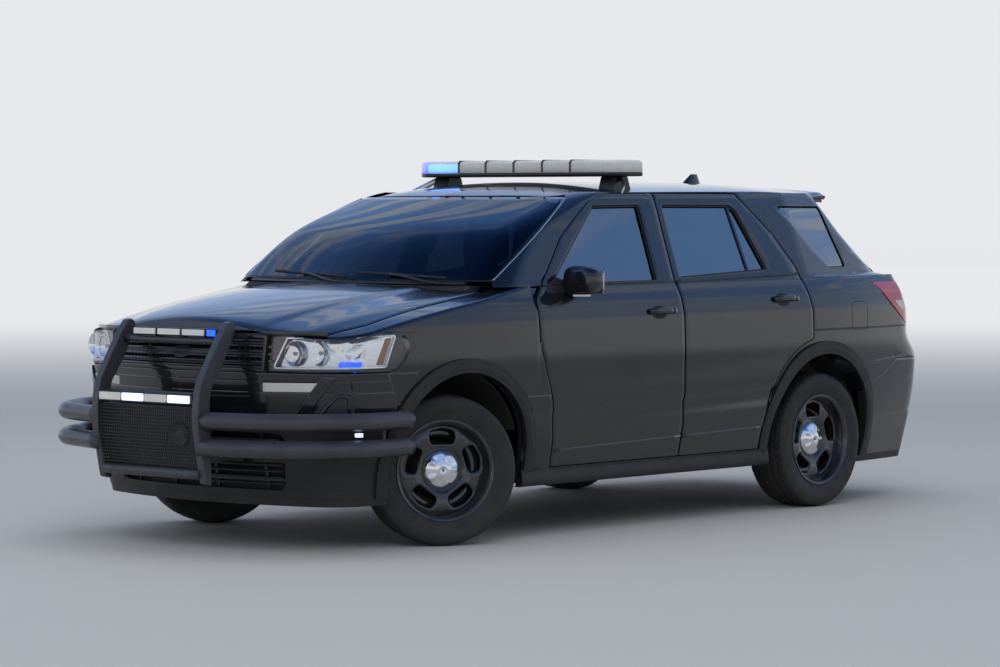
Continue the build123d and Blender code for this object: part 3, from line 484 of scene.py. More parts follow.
class Net:
    """A shader tree in the making: one call adds a node, sets it and feeds its inputs."""

    def __init__(self, tree: bpy.types.NodeTree) -> None:
        self.tree = tree

    def add(self, kind: str, feeds: Optional[Mapping[Union[str, int], object]] = None,
            **settings: object) -> bpy.types.Node:
        """A new node.

        Args:
            kind: its type, without the leading ShaderNode.
            feeds: for each input, by name or number, the socket it is linked to or its own value.
            settings: values of the node's properties.

        Returns:
            The node.
        """
        node = self.tree.nodes.new(f"ShaderNode{kind}")
        for key, value in settings.items():
            setattr(node, key, value)
        for key, value in (feeds or {}).items():
            if isinstance(value, bpy.types.NodeSocket):
                self.tree.links.new(value, node.inputs[key])
            else:
                node.inputs[key].default_value = value
        return node

    def math(self, operation: str, *values: object, clamp: bool = False) -> bpy.types.NodeSocket:
        """Result of an operation on sockets and numbers."""
        node = self.add("Math", dict(enumerate(values)), operation=operation, use_clamp=clamp)
        return node.outputs["Value"]

    def span(self, value: bpy.types.NodeSocket, start: Sequence[object], end: Sequence[object] = (0.0, 1.0),
             **settings: object) -> bpy.types.NodeSocket:
        """A value carried from one range, given by its two ends, to another."""
        node = self.add("MapRange", {"Value": value, "From Min": start[0], "From Max": start[1],
                                     "To Min": end[0], "To Max": end[1]}, **settings)
        return node.outputs["Result"]

    def blend(self, share: bpy.types.NodeSocket, first: object, second: object) -> bpy.types.NodeSocket:
        """Colour between two colours."""
        return self.add("Mix", {"Factor": share, 6: first, 7: second}, data_type="RGBA").outputs[2]


class Group:
    """Shared shader effects, each a node group with named sockets, built once."""

    built: dict[str, bpy.types.NodeTree] = {}

    @classmethod
    def once(cls, name: str, inputs: Mapping[str, float], output: str,
             wire: Callable[[Net, Mapping[str, bpy.types.NodeSocket]], bpy.types.NodeSocket]) -> bpy.types.NodeTree:
        """A group, wired on its first use.

        Args:
            name: the group's name.
            inputs: its number inputs with their defaults, after the vector that each group has.
            output: name of its output.
            wire: adds the nodes and gives the socket that leads to the output.

        Returns:
            The group's tree.
        """
        if name not in cls.built:
            tree = bpy.data.node_groups.new(name, "ShaderNodeTree")
            tree.interface.new_socket("Vector", in_out="INPUT", socket_type="NodeSocketVector")
            for socket, default in inputs.items():
                made = tree.interface.new_socket(socket, in_out="INPUT", socket_type="NodeSocketFloat")
                made.default_value = default
            tree.interface.new_socket(output, in_out="OUTPUT", socket_type="NodeSocketFloat")
            given, result = tree.nodes.new("NodeGroupInput"), tree.nodes.new("NodeGroupOutput")
            tree.links.new(wire(Net(tree), given.outputs), result.inputs[output])
            cls.built[name] = tree
        return cls.built[name]

    @classmethod
    def variation(cls) -> bpy.types.NodeTree:
        """Slow uneven variation: fractal noise whose middle is stretched between two values."""

        def wire(net: Net, given: Mapping[str, bpy.types.NodeSocket]) -> bpy.types.NodeSocket:
            """Noise from 0.3 to 0.7, spread from the low to the high value."""
            noise = net.add("TexNoise", {"Vector": given["Vector"], "Scale": given["Scale"], "Detail": 4.0})
            return net.span(noise.outputs["Fac"], (0.3, 0.7), (given["Low"], given["High"]))

        return cls.once("soft_variation", {"Scale": 6.0, "Low": 0.0, "High": 1.0}, "Value", wire)

    @classmethod
    def grain(cls) -> bpy.types.NodeTree:
        """Moulded grain: the distance to the nearest cell centre, broken up by fine noise."""

        def wire(net: Net, given: Mapping[str, bpy.types.NodeSocket]) -> bpy.types.NodeSocket:
            """Half the cell distance and the noise."""
            place = {"Vector": given["Vector"], "Scale": given["Scale"]}
            noise = net.add("TexNoise", {**place, "Detail": 3.0}).outputs["Fac"]
            return net.math("MULTIPLY_ADD", net.add("TexVoronoi", place).outputs["Distance"], 0.5, noise)

        return cls.once("moulded_grain", {"Scale": 900.0}, "Height", wire)

    @classmethod
    def dust(cls) -> bpy.types.NodeTree:
        """Road dust: most at the road, none above a height, broken up by noise."""

        def wire(net: Net, given: Mapping[str, bpy.types.NodeSocket]) -> bpy.types.NodeSocket:
            """Fall with height, times noise, times the amount."""
            height = net.add("SeparateXYZ", {"Vector": given["Vector"]}).outputs["Z"]
            fall = net.span(height, (0.12, given["Height"]), (1.0, 0.0))
            noise = net.add("TexNoise", {"Vector": given["Vector"], "Scale": 14.0, "Detail": 6.0}).outputs["Fac"]
            return net.math("MULTIPLY", net.math("MULTIPLY", fall, noise), given["Amount"])

        return cls.once("road_dust", {"Height": 0.9, "Amount": 0.3}, "Mask", wire)


@dataclass(frozen=True)
class Finish:
    """One finish: its colours, gloss, relief and the dust on it.

    Attributes:
        name: the material's name.
        colour: main colour, linear.
        second: colour that slow variation leads to.
        rough: least and most roughness.
        metal: metallic value.
        coat: clear coat weight.
        coat_rough: roughness of the clear coat.
        relief: bump distance in millimetres.
        relief_scale: cells a metre of the bump.
        dust: how much road dust it holds.
        variation: noise scale of its uneven colour.
        glass: transmission weight.
        ior: index of refraction.
        glow: emission colour, or None.
        glow_strength: emission strength.
        specular: specular level.
        sheen: sheen weight.
        coat_ior: index of refraction of the clear coat.
    """

    name: str
    colour: tuple[float, float, float]
    second: tuple[float, float, float]
    rough: tuple[float, float] = (0.4, 0.5)
    metal: float = 0.0
    coat: float = 0.0
    coat_rough: float = 0.03
    relief: float = 0.0
    relief_scale: float = 900.0
    dust: float = 0.0
    variation: float = 6.0
    glass: float = 0.0
    ior: float = 1.5
    glow: Optional[tuple[float, float, float]] = None
    glow_strength: float = 0.0
    specular: float = 0.5
    sheen: float = 0.0
    coat_ior: float = 1.5

    def build(self) -> bpy.types.Material:
        """The material, made once.

        Returns:
            The material with its node tree.
        """
        label = f"{self.name}_finish"
        found = bpy.data.materials.get(label)
        if found:
            return found
        material = bpy.data.materials.new(label)
        material.use_nodes = True
        net = Net(material.node_tree)
        net.tree.nodes.clear()
        where = net.add("TexCoord").outputs["Object"]

        def group(tree: bpy.types.NodeTree, **values: float) -> bpy.types.NodeSocket:
            """Output of a placed group with its own values."""
            return net.add("Group", {"Vector": where, **values}, node_tree=tree).outputs[0]

        tint = group(Group.variation(), Scale=self.variation)
        colour = net.blend(tint, (*self.colour, 1), (*self.second, 1))
        rough = group(Group.variation(), Scale=self.variation * 2.3, Low=self.rough[0], High=self.rough[1])
        if self.dust:
            dust = group(Group.dust(), Amount=self.dust)
            colour = net.blend(dust, colour, (0.16, 0.145, 0.13, 1))
            rough = net.math("MULTIPLY_ADD", dust, 0.6, rough, clamp=True)
        feeds = {"Base Color": colour, "Roughness": rough, "Metallic": self.metal, "IOR": self.ior,
                 "Specular IOR Level": self.specular, "Coat Weight": self.coat, "Coat Roughness": self.coat_rough,
                 "Coat IOR": self.coat_ior, "Transmission Weight": self.glass, "Sheen Weight": self.sheen}
        if self.relief:
            grain = group(Group.grain(), Scale=self.relief_scale)
            bump = net.add("Bump", {"Distance": self.relief / 1000, "Strength": 1.0, "Height": grain})
            feeds["Normal"] = bump.outputs["Normal"]
        if self.glow:
            feeds |= {"Emission Color": (*self.glow, 1), "Emission Strength": self.glow_strength}
        shader = net.add("BsdfPrincipled", feeds)
        net.add("OutputMaterial", {"Surface": shader.outputs["BSDF"]})
        return material


class Finishes:
    """Every finish of the vehicle, by the name of what it covers."""

    paint = Finish("black_paint", (0.004, 0.0045, 0.006), (0.006, 0.007, 0.010), (0.22, 0.30), 0.0, 1.0, 0.004,
                   dust=0.015, variation=3.0, specular=0.2, coat_ior=1.52)
    piano = Finish("gloss_black_trim", (0.005, 0.005, 0.006), (0.008, 0.008, 0.009), (0.10, 0.16), coat=1.0,
                   coat_rough=0.01, specular=0.2)
    cladding = Finish("grained_cladding", (0.011, 0.011, 0.012), (0.016, 0.016, 0.017), (0.40, 0.52), relief=0.10,
                      relief_scale=700, dust=0.08, specular=0.35)
    satin = Finish("satin_black_trim", (0.012, 0.012, 0.013), (0.018, 0.018, 0.019), (0.3, 0.42), relief=0.05,
                   relief_scale=1200, dust=0.08)
    bumper_grey = Finish("grey_lower_bumper", (0.075, 0.072, 0.070), (0.10, 0.096, 0.092), (0.4, 0.55), relief=0.08,
                         relief_scale=800, dust=0.25)
    powder = Finish("powder_coated_steel", (0.030, 0.032, 0.038), (0.040, 0.042, 0.049), (0.26, 0.36), relief=0.10,
                    relief_scale=600, dust=0.05)
    steel_black = Finish("black_wheel_steel", (0.006, 0.006, 0.007), (0.010, 0.010, 0.010), (0.16, 0.26), coat=0.8,
                         dust=0.06, variation=18)
    tyre = Finish("tyre_rubber", (0.010, 0.010, 0.010), (0.017, 0.0165, 0.016), (0.55, 0.72), relief=0.12,
                  relief_scale=500, dust=0.16, variation=9, specular=0.4)
    chrome = Finish("chrome_plate", (0.78, 0.78, 0.80), (0.70, 0.69, 0.70), (0.05, 0.12), 1.0, variation=20)
    silver = Finish("silver_strap", (0.62, 0.62, 0.64), (0.52, 0.52, 0.54), (0.25, 0.35), 1.0, variation=30)
    worn_edge = Finish("worn_rim_edge", (0.09, 0.09, 0.095), (0.18, 0.18, 0.19), (0.25, 0.4), 1.0, variation=14)
    bare_steel = Finish("brake_steel", (0.30, 0.28, 0.27), (0.20, 0.17, 0.15), (0.3, 0.5), 1.0, variation=40)
    cast = Finish("cast_iron_grey", (0.13, 0.13, 0.13), (0.20, 0.19, 0.18), (0.5, 0.7), 0.8, relief=0.3,
                  relief_scale=400, variation=20)
    exhaust = Finish("heat_stained_steel", (0.34, 0.31, 0.27), (0.20, 0.17, 0.16), (0.3, 0.5), 1.0, variation=9)
    underseal = Finish("underseal", (0.012, 0.012, 0.012), (0.022, 0.021, 0.02), (0.6, 0.8), relief=0.6,
                       relief_scale=220, dust=0.3)
    windshield = Finish("clear_glass", (0.16, 0.21, 0.28), (0.15, 0.20, 0.27), (0.0, 0.004), glass=1.0, ior=1.38)
    tinted = Finish("tinted_glass", (0.045, 0.065, 0.10), (0.04, 0.06, 0.09), (0.0, 0.004), glass=1.0, ior=1.8,
                    coat=1.0, coat_rough=0.0, coat_ior=2.1)
    lens = Finish("clear_lens", (0.93, 0.94, 0.95), (0.90, 0.92, 0.94), (0.0, 0.01), glass=1.0, ior=1.46)
    grey_lens = Finish("ribbed_clear_lens", (0.84, 0.85, 0.83), (0.76, 0.77, 0.75), (0.03, 0.08), glass=0.45,
                       ior=1.35)
    red_lens = Finish("red_lens", (0.50, 0.012, 0.014), (0.36, 0.008, 0.010), (0.04, 0.09), coat=0.8, glass=0.25)
    amber_lens = Finish("amber_lens", (0.70, 0.34, 0.16), (0.60, 0.28, 0.12), (0.03, 0.08), glass=0.5)
    # Bright metal for the strip along the windshield pillar: a painted highlight that stands in for the reflection
    # along the pillar's edge.
    pillar_highlight_finish = Finish("painted_pillar_highlight", (0.55, 0.57, 0.60), (0.46, 0.48, 0.51), (0.16, 0.26), 1.0)
    reflector = Finish("lamp_reflector", (0.82, 0.83, 0.85), (0.72, 0.73, 0.75), (0.10, 0.22), 1.0, variation=60)
    blue_lit = Finish("blue_light_lit", (0.02, 0.12, 0.9), (0.02, 0.10, 0.8), (0.1, 0.2),
                      glow=(0.0, 0.04, 1.0), glow_strength=3.0)
    blue_core = Finish("blue_light_core", (0.3, 0.7, 1.0), (0.3, 0.65, 1.0), (0.1, 0.2),
                       glow=(0.04, 0.26, 1.0), glow_strength=3.2)
    white_lit = Finish("white_light_lit", (0.8, 0.85, 1.0), (0.75, 0.8, 1.0), (0.1, 0.2),
                       glow=(0.50, 0.64, 1.0), glow_strength=1.3)
    off_light = Finish("light_head_off", (0.66, 0.66, 0.63), (0.56, 0.56, 0.53), (0.12, 0.25), coat=0.5)
    rubber = Finish("seal_rubber", (0.010, 0.010, 0.010), (0.016, 0.016, 0.016), (0.6, 0.75))
    cloth = Finish("seat_cloth", (0.020, 0.020, 0.022), (0.034, 0.034, 0.037), (0.8, 0.92), relief=0.4,
                   relief_scale=500, sheen=0.3)
    cabin = Finish("cabin_plastic", (0.020, 0.020, 0.021), (0.03, 0.03, 0.031), (0.5, 0.65), relief=0.15,
                   relief_scale=500)
    plate = Finish("blank_plate", (0.70, 0.71, 0.72), (0.62, 0.63, 0.64), (0.3, 0.4), relief=0.03)


class BodyForm:
    """The body's outer surface, from the same tables of sizes as the frame's panels."""

    flat_y: tuple[float, float] = (500.0, 2760.0)
    side_arc: tuple[float, float] = (9000.0, 5600.0)
    corner: tuple[float, float] = (320.0, 260.0)
    end_arc: tuple[float, float] = (2300.0, 4200.0)
    tip: tuple[float, float] = (-950.0, TAIL_TIP)
    low_z: tuple[float, ...] = (215, 640, 730, 880, 1030, 1140, 1250)
    low_inset: tuple[float, ...] = (95, 13, 6, 0, 3, 21, 75.5)
    cabin_rows: np.ndarray = np.array([
        (1190, 45, 250, 951.5, 3690, 3856),
        (1480, 420, 560, 838, 3330, 3585),
        (1640, 810, 950, 775.5, 3180, 3435),
        (1700, 1020, 1160, 740, 3120, 3372),
        (1772, 1560, 1700, 480, 3040, 3200),
    ], float)
    cabin_corner: tuple[float, float] = (190.0, 170.0)
    cabin_flat: float = 2790.0
    taper: float = 0.16
    deck_y: tuple[float, ...] = (-1040, -800, -300, 300, 520)
    deck_centre: tuple[float, ...] = (1020, 1110, 1202, 1266, 1306)
    deck_edge: tuple[float, ...] = (870, 982, 1108, 1208, 1248)
    crown_y: tuple[float, ...] = (850, 1400, 2500, 4000)
    crown_centre: tuple[float, ...] = (1690, 1751, 1756, 1681)
    crown_edge: tuple[float, ...] = (1625, 1695, 1701, 1639.5)

    @classmethod
    def inset(cls, z: np.ndarray) -> np.ndarray:
        """How far the lower body stands in at a height: a monotone cubic through the table."""
        return smooth(cls.low_z, cls.low_inset, z)

    @classmethod
    def corner_of(cls, end: int, tip: float) -> tuple[np.ndarray, np.ndarray, np.ndarray]:
        """Centres of the end arc, the side arc and the corner that touches both."""
        way = (-1.0, 1.0)[end]
        end_c = np.array([0.0, tip - way * cls.end_arc[end]])
        side_c = np.array([SIDE_X - cls.side_arc[end], cls.flat_y[end]])
        r1, r2 = cls.end_arc[end] - cls.corner[end], cls.side_arc[end] - cls.corner[end]
        d = side_c - end_c
        apart = np.linalg.norm(d)
        along = (r1 * r1 - r2 * r2 + apart * apart) / (2 * apart)
        across = way * math.sqrt(r1 * r1 - along * along)
        meet = np.array([along * d[0] + across * d[1], along * d[1] - across * d[0]]) / apart + end_c
        return end_c, side_c, meet

    @classmethod
    def side(cls, y: np.ndarray, z: np.ndarray, proud: Amount = 0.0, tail: float = TAIL_TIP) -> np.ndarray:
        """Points of the left side below the belt.

        Half width is the flat side's, or a side arc's or corner arc's at that y, each less the inset.

        Args:
            y: distance behind the front axle.
            z: height.
            proud: how far the surface stands out from the table's.
            tail: y of the rear end's tip.

        Returns:
            Points with x, y and z.
        """
        y, z = np.broadcast_arrays(np.asarray(y, float), np.asarray(z, float))
        inset = cls.inset(z) - proud
        x = SIDE_X - inset
        for end, tip in ((0, cls.tip[0]), (1, tail)):
            way = (-1.0, 1.0)[end]
            _, side_c, corner_c = cls.corner_of(end, tip)
            direction = (corner_c - side_c) / np.linalg.norm(corner_c - side_c)
            side_r, corner_r = cls.side_arc[end] - inset, cls.corner[end] - inset
            join = side_c[1] + direction[1] * side_r
            on_arc = side_c[0] + np.sqrt(np.maximum(side_r ** 2 - (y - side_c[1]) ** 2, 1.0))
            on_corner = corner_c[0] + np.sqrt(np.maximum(corner_r ** 2 - (y - corner_c[1]) ** 2, 1.0))
            x = np.where(way * (y - cls.flat_y[end]) > 0, on_arc, x)
            x = np.where(way * (y - join) > 0, on_corner, x)
        return np.stack([x, y, z], -1)

    @staticmethod
    def grille_plane(z: np.ndarray, proud: Amount) -> np.ndarray:
        """y of the plane that leans back from height 900, 103 mm in 230 mm."""
        return -953.0 + (z - 900) * (103 / 230) - proud

    @staticmethod
    def tail_cylinder(x: np.ndarray, z: np.ndarray, proud: Amount) -> np.ndarray:
        """y of the cylinder that leans forward over the tail, 132 mm in 385 mm."""
        slope, radius = 132.0 / 385.0, 3000.0
        secant = math.sqrt(1 + slope * slope)
        axis_y = 3937.0 - radius * secant - slope * (z - 860.0)
        return axis_y + np.sqrt(np.maximum((radius + proud) ** 2 - x ** 2, 1.0)) * secant

    @classmethod
    def nose(cls, x: np.ndarray, z: np.ndarray, proud: float = 0.0) -> np.ndarray:
        """Points of the nose: the end arc or corner arc at that x, leaning back above the grille."""
        x, z = np.broadcast_arrays(np.asarray(x, float), np.asarray(z, float))
        inset = cls.inset(z) - proud
        end_c, _, corner_c = cls.corner_of(0, cls.tip[0])
        end_r, corner_r = cls.end_arc[0] - inset, cls.corner[0] - inset
        direction = (corner_c - end_c) / np.linalg.norm(corner_c - end_c)
        join = direction[0] * end_r
        ax = np.abs(x)
        on_end = end_c[1] - np.sqrt(np.maximum(end_r ** 2 - ax ** 2, 1.0))
        on_corner = corner_c[1] - np.sqrt(np.maximum(corner_r ** 2 - (ax - corner_c[0]) ** 2, 1.0))
        y = np.where(ax > join, on_corner, on_end)
        y = np.where(z > 900, np.maximum(y, cls.grille_plane(z, proud)), y)
        return np.stack([x, y, z], -1)

    @classmethod
    def tail(cls, x: np.ndarray, z: np.ndarray, proud: float = 0.0, tip: float = TAIL_TIP,
             lean: bool = True) -> np.ndarray:
        """Points of the tail below the belt: the end or corner arc, cut by the leaning cylinder."""
        x, z = np.broadcast_arrays(np.asarray(x, float), np.asarray(z, float))
        inset = cls.inset(z) - proud
        end_c, _, corner_c = cls.corner_of(1, tip)
        end_r, corner_r = cls.end_arc[1] - inset, cls.corner[1] - inset
        direction = (corner_c - end_c) / np.linalg.norm(corner_c - end_c)
        ax = np.abs(x)
        on_end = end_c[1] + np.sqrt(np.maximum(end_r ** 2 - ax ** 2, 1.0))
        on_corner = corner_c[1] + np.sqrt(np.maximum(corner_r ** 2 - (ax - corner_c[0]) ** 2, 1.0))
        y = np.where(ax > direction[0] * end_r, on_corner, on_end)
        if lean:
            y = np.minimum(y, cls.tail_cylinder(ax, z, proud))
        return np.stack([x, y, z], -1)

    @classmethod
    def row(cls, z: np.ndarray, column: int) -> np.ndarray:
        """One column of the cabin's table at a height."""
        return smooth(cls.cabin_rows[:, 0], cls.cabin_rows[:, column], z)

    @classmethod
    def glass_front(cls, x: np.ndarray, z: np.ndarray, proud: float = 0.0) -> np.ndarray:
        """Points of the windshield: at each height an arc through its middle and its two sides."""
        x, z = np.broadcast_arrays(np.asarray(x, float), np.asarray(z, float))
        middle, corner, half = cls.row(z, 1), cls.row(z, 2), cls.row(z, 3)
        rise = corner - middle
        radius = (half ** 2 + rise ** 2) / (2 * rise)
        y = middle + radius - np.sqrt(np.maximum(radius ** 2 - x ** 2, 1.0)) - proud
        return np.stack([x, y, z], -1)

    @classmethod
    def glass_rear(cls, x: np.ndarray, z: np.ndarray, proud: float = 0.0) -> np.ndarray:
        """Points of the rear window: at each height an arc through its middle and its two corners."""
        x, z = np.broadcast_arrays(np.asarray(x, float), np.asarray(z, float))
        corner, middle = cls.row(z, 4), cls.row(z, 5)
        half = cls.row(z, 3) - cls.taper * (corner - cls.cabin_flat)
        rise = middle - corner
        radius = (half ** 2 + rise ** 2) / (2 * rise)
        y = middle - radius + np.sqrt(np.maximum(radius ** 2 - x ** 2, 1.0)) + proud
        return np.stack([x, y, z], -1)

    @staticmethod
    def crowned(x: np.ndarray, centre: np.ndarray, edge: np.ndarray, edge_x: float, half: float) -> np.ndarray:
        """Height of a surface crowned across: an arc through its middle and its two edges."""
        fall = (centre - edge) * (half / edge_x) ** 2
        radius = (half ** 2 + fall ** 2) / (2 * fall)
        return centre - radius + np.sqrt(np.maximum(radius ** 2 - np.asarray(x, float) ** 2, 1.0))

    @classmethod
    def deck(cls, x: np.ndarray, y: np.ndarray) -> np.ndarray:
        """Height of the hood and fender tops."""
        return cls.crowned(x, smooth(cls.deck_y, cls.deck_centre, y), smooth(cls.deck_y, cls.deck_edge, y),
                           900.0, 1100.0)

    @classmethod
    def crown(cls, x: np.ndarray, y: np.ndarray) -> np.ndarray:
        """Height of the roof."""
        return cls.crowned(x, smooth(cls.crown_y, cls.crown_centre, y), smooth(cls.crown_y, cls.crown_edge, y),
                           740.0, 1000.0)


def band(surface: Surface, centre: Sequence[float], inner: np.ndarray, outer: np.ndarray, across: int = 6,
         count: int = 96) -> np.ndarray:
    """Closed band of surface between two outlines, each point on a ray from a centre.

    Args:
        surface: gives points from the outlines' two coordinates.
        centre: where the rays start.
        inner: inside outline.
        outer: outside outline.
        across: spans from one outline to the other.
        count: least number of rays.

    Returns:
        Rows from the inner to the outer outline, whose columns close.
    """
    angles = ring_angles(centre, count, inner, outer)
    a, b = rays(inner, centre, angles), rays(outer, centre, angles)
    t = np.linspace(0, 1, across + 1)[:, None, None]
    flat = a[None] * (1 - t) + b[None] * t
    return surface(flat[..., 0], flat[..., 1])


def fill(surface: Surface, centre: Sequence[float], outline: np.ndarray, across: int = 8,
         count: int = 72) -> np.ndarray:
    """Surface inside an outline, in rings that shrink to a centre."""
    angles = ring_angles(centre, count, outline)
    b = rays(outline, centre, angles)
    t = np.linspace(0.0, 1, across + 1)[:, None, None]
    flat = np.asarray(centre, float) * (1 - t) + b[None] * t
    return surface(flat[..., 0], flat[..., 1])


def at(rows: Points, z: np.ndarray) -> np.ndarray:
    """The y of an edge drawn as y and z, at a height."""
    table = np.asarray(sorted(rows, key=lambda p: p[1]), float)
    return np.interp(z, table[:, 1], table[:, 0])


class Wrap:
    """One end of the lower body in plan, followed from the flat side round the corner to the centre line.

    Every point moves in along its own normal by the inset of its height; a lean then cuts the end.
    """

    def __init__(self, end: int, tip: float, lean: bool = True) -> None:
        self.end, self.lean = end, lean
        way = (-1.0, 1.0)[end]
        end_c, side_c, corner_c = BodyForm.corner_of(end, tip)
        first = corner_c - side_c
        second = corner_c - end_c
        a1, a2 = math.atan2(first[1], first[0]), math.atan2(second[1], second[0])
        runs = [(side_c, BodyForm.side_arc[end], np.linspace(0, a1, 60)),
                (corner_c, BodyForm.corner[end], np.linspace(a1, a2, 60)[1:]),
                (end_c, BodyForm.end_arc[end], np.linspace(a2, way * math.pi / 2, 60)[1:])]
        flat_y = np.linspace(1600, BodyForm.flat_y[end], 40)[:-1]
        points = [np.stack([np.full_like(flat_y, SIDE_X), flat_y], 1)]
        normals = [np.tile((1.0, 0.0), (len(flat_y), 1))]
        for centre, radius, angle in runs:
            normal = np.stack([np.cos(angle), np.sin(angle)], 1)
            points.append(centre + radius * normal)
            normals.append(normal)
        self.points, self.normals = np.concatenate(points), np.concatenate(normals)
        step_length = np.linalg.norm(np.diff(self.points, axis=0), axis=1)
        self.s = np.concatenate([[0], np.cumsum(step_length)])

    def surface(self, s: np.ndarray, z: np.ndarray, proud: Amount = 0.0) -> np.ndarray:
        """Points at a length along the outline and a height."""
        s, z = np.broadcast_arrays(np.asarray(s, float), np.asarray(z, float))
        px, py = (np.interp(s, self.s, self.points[:, k]) for k in (0, 1))
        nx, ny = (np.interp(s, self.s, self.normals[:, k]) for k in (0, 1))
        depth = BodyForm.inset(z) - proud
        x, y = px - depth * nx, py - depth * ny
        if self.lean and self.end == 0:
            y = np.where(z > 900, np.maximum(y, BodyForm.grille_plane(z, proud)), y)
        if self.lean and self.end == 1:
            y = np.minimum(y, BodyForm.tail_cylinder(x, z, proud))
        return np.stack([x, y, z], -1)

    def where(self, z: np.ndarray, axis: int, value: np.ndarray) -> np.ndarray:
        """Length along the outline where x (axis 0) or y (axis 1) has a value, at each height."""
        z = np.atleast_1d(np.asarray(z, float))
        value = np.broadcast_to(np.asarray(value, float), z.shape)
        grid = self.surface(self.s[None], z[:, None])[..., axis]
        rising = 1.0 if grid[0, -1] > grid[0, 0] else -1.0
        return np.array([np.interp(rising * v, rising * row, self.s) for v, row in zip(value, grid)])

    def rows(self, z: np.ndarray, start: np.ndarray, stop: np.ndarray, cols: int, proud: float) -> np.ndarray:
        """Grid of rows at given heights, each between two lengths along the outline."""
        return self.surface(between(start, stop, cols), np.asarray(z)[:, None], proud)


class Cabin:
    """The cabin's left half in plan at any height, from the windshield's middle to the rear window's."""

    @staticmethod
    def ring(z: float) -> np.ndarray:
        """Outline at one height: windshield arc, fillet, side, taper, fillet and tail arc."""
        nose, fy, side, ry, tail = (float(BodyForm.row(np.array(z), k)) for k in range(1, 6))
        r1, r2 = BodyForm.cabin_corner
        rise = fy - nose
        front_r = (side ** 2 + rise ** 2) / (2 * rise)
        yc = nose + front_r
        cx = side - r1
        cy = yc - math.sqrt((front_r - r1) ** 2 - cx ** 2)
        a0 = math.atan2(cy - yc, cx)
        arc = np.linspace(-math.pi / 2, a0, 40)
        parts = [np.stack([front_r * np.cos(arc), yc + front_r * np.sin(arc)], 1)]
        arc = np.linspace(a0, 0, 14)[1:]
        parts.append(np.stack([cx + r1 * np.cos(arc), cy + r1 * np.sin(arc)], 1))
        flat = np.linspace(cy, BodyForm.cabin_flat, 30)[1:]
        parts.append(np.stack([np.full_like(flat, side), flat], 1))
        lean = math.atan(BodyForm.taper)
        rx = side - BodyForm.taper * (ry - BodyForm.cabin_flat)
        rise = tail - ry
        tail_r = (rx ** 2 + rise ** 2) / (2 * rise)
        yt = tail - tail_r
        n = np.array([math.cos(lean), math.sin(lean)])
        base = np.array([side, BodyForm.cabin_flat]) - n * r2
        along = np.array([-math.sin(lean), math.cos(lean)])
        b = 2 * (base - (0, yt)) @ along
        c = (base - (0, yt)) @ (base - (0, yt)) - (tail_r - r2) ** 2
        centre = base + along * (-b + math.sqrt(b * b - 4 * c)) / 2
        a1 = math.atan2(centre[1] - yt, centre[0])
        arc = np.linspace(lean, a1, 16)
        parts.append(np.stack([centre[0] + r2 * np.cos(arc), centre[1] + r2 * np.sin(arc)], 1))
        arc = np.linspace(a1, math.pi / 2, 40)[1:]
        parts.append(np.stack([tail_r * np.cos(arc), yt + tail_r * np.sin(arc)], 1))
        return np.concatenate(parts)

    @staticmethod
    def strip(heights: np.ndarray, first: Callable[[np.ndarray, np.ndarray, float], float],
              last: Callable[[np.ndarray, np.ndarray, float], float], cols: int, proud: float) -> np.ndarray:
        """Rows of the left outline between two lengths, which functions of the ring give, moved outwards."""
        rows = []
        for z in heights:
            ring = Cabin.ring(z)
            length = np.concatenate([[0], np.cumsum(np.linalg.norm(np.diff(ring, axis=0), axis=1))])
            a = first(ring, length, z)
            s = np.linspace(a, max(last(ring, length, z), a + 2), cols)
            rows.append(np.stack([np.interp(s, length, ring[:, 0]), np.interp(s, length, ring[:, 1]),
                                  np.full_like(s, z)], 1))
        grid = np.array(rows)
        normal = np.cross(np.gradient(grid, axis=1), np.gradient(grid, axis=0))
        return grid + proud * normal / np.maximum(np.linalg.norm(normal, axis=-1, keepdims=True), 1e-6)

    @staticmethod
    def glass_edge(ring: np.ndarray, length: np.ndarray, z: float) -> float:
        """Length at which the windshield ends at a height: where one leaning plane cuts the outline."""
        reach = ring[:83] @ np.array((0.6328, 0.7743))
        return float(np.interp(np.interp(z, (1258, 1671), (790, 1259)), reach, length[:83]))

    @staticmethod
    def half_width(y: np.ndarray, levels: np.ndarray) -> np.ndarray:
        """Half width at every level, by rows of y; negative ahead of or behind the outline."""
        out = []
        for z in levels:
            ring = Cabin.ring(z)
            out.append(np.interp(y, ring[:, 1], ring[:, 0], left=-1.0, right=-1.0))
        return np.array(out)

    @staticmethod
    def height(x: np.ndarray, y: np.ndarray) -> np.ndarray:
        """Height of the cabin's surface over a point in plan: the level whose outline passes through it."""
        levels = np.linspace(1600, 1772, 70)
        room = Cabin.half_width(y, levels) - np.abs(x)[None]
        inside = room > 0
        last = np.clip(inside.sum(0) - 1, 0, len(levels) - 2)
        a = np.take_along_axis(room, last[None], 0)[0]
        b = np.take_along_axis(room, last[None] + 1, 0)[0]
        part = np.clip(a / np.maximum(a - b, 1e-6), 0, 1)
        return np.where(inside[0], levels[last] + part * (levels[1] - levels[0]), levels[0])


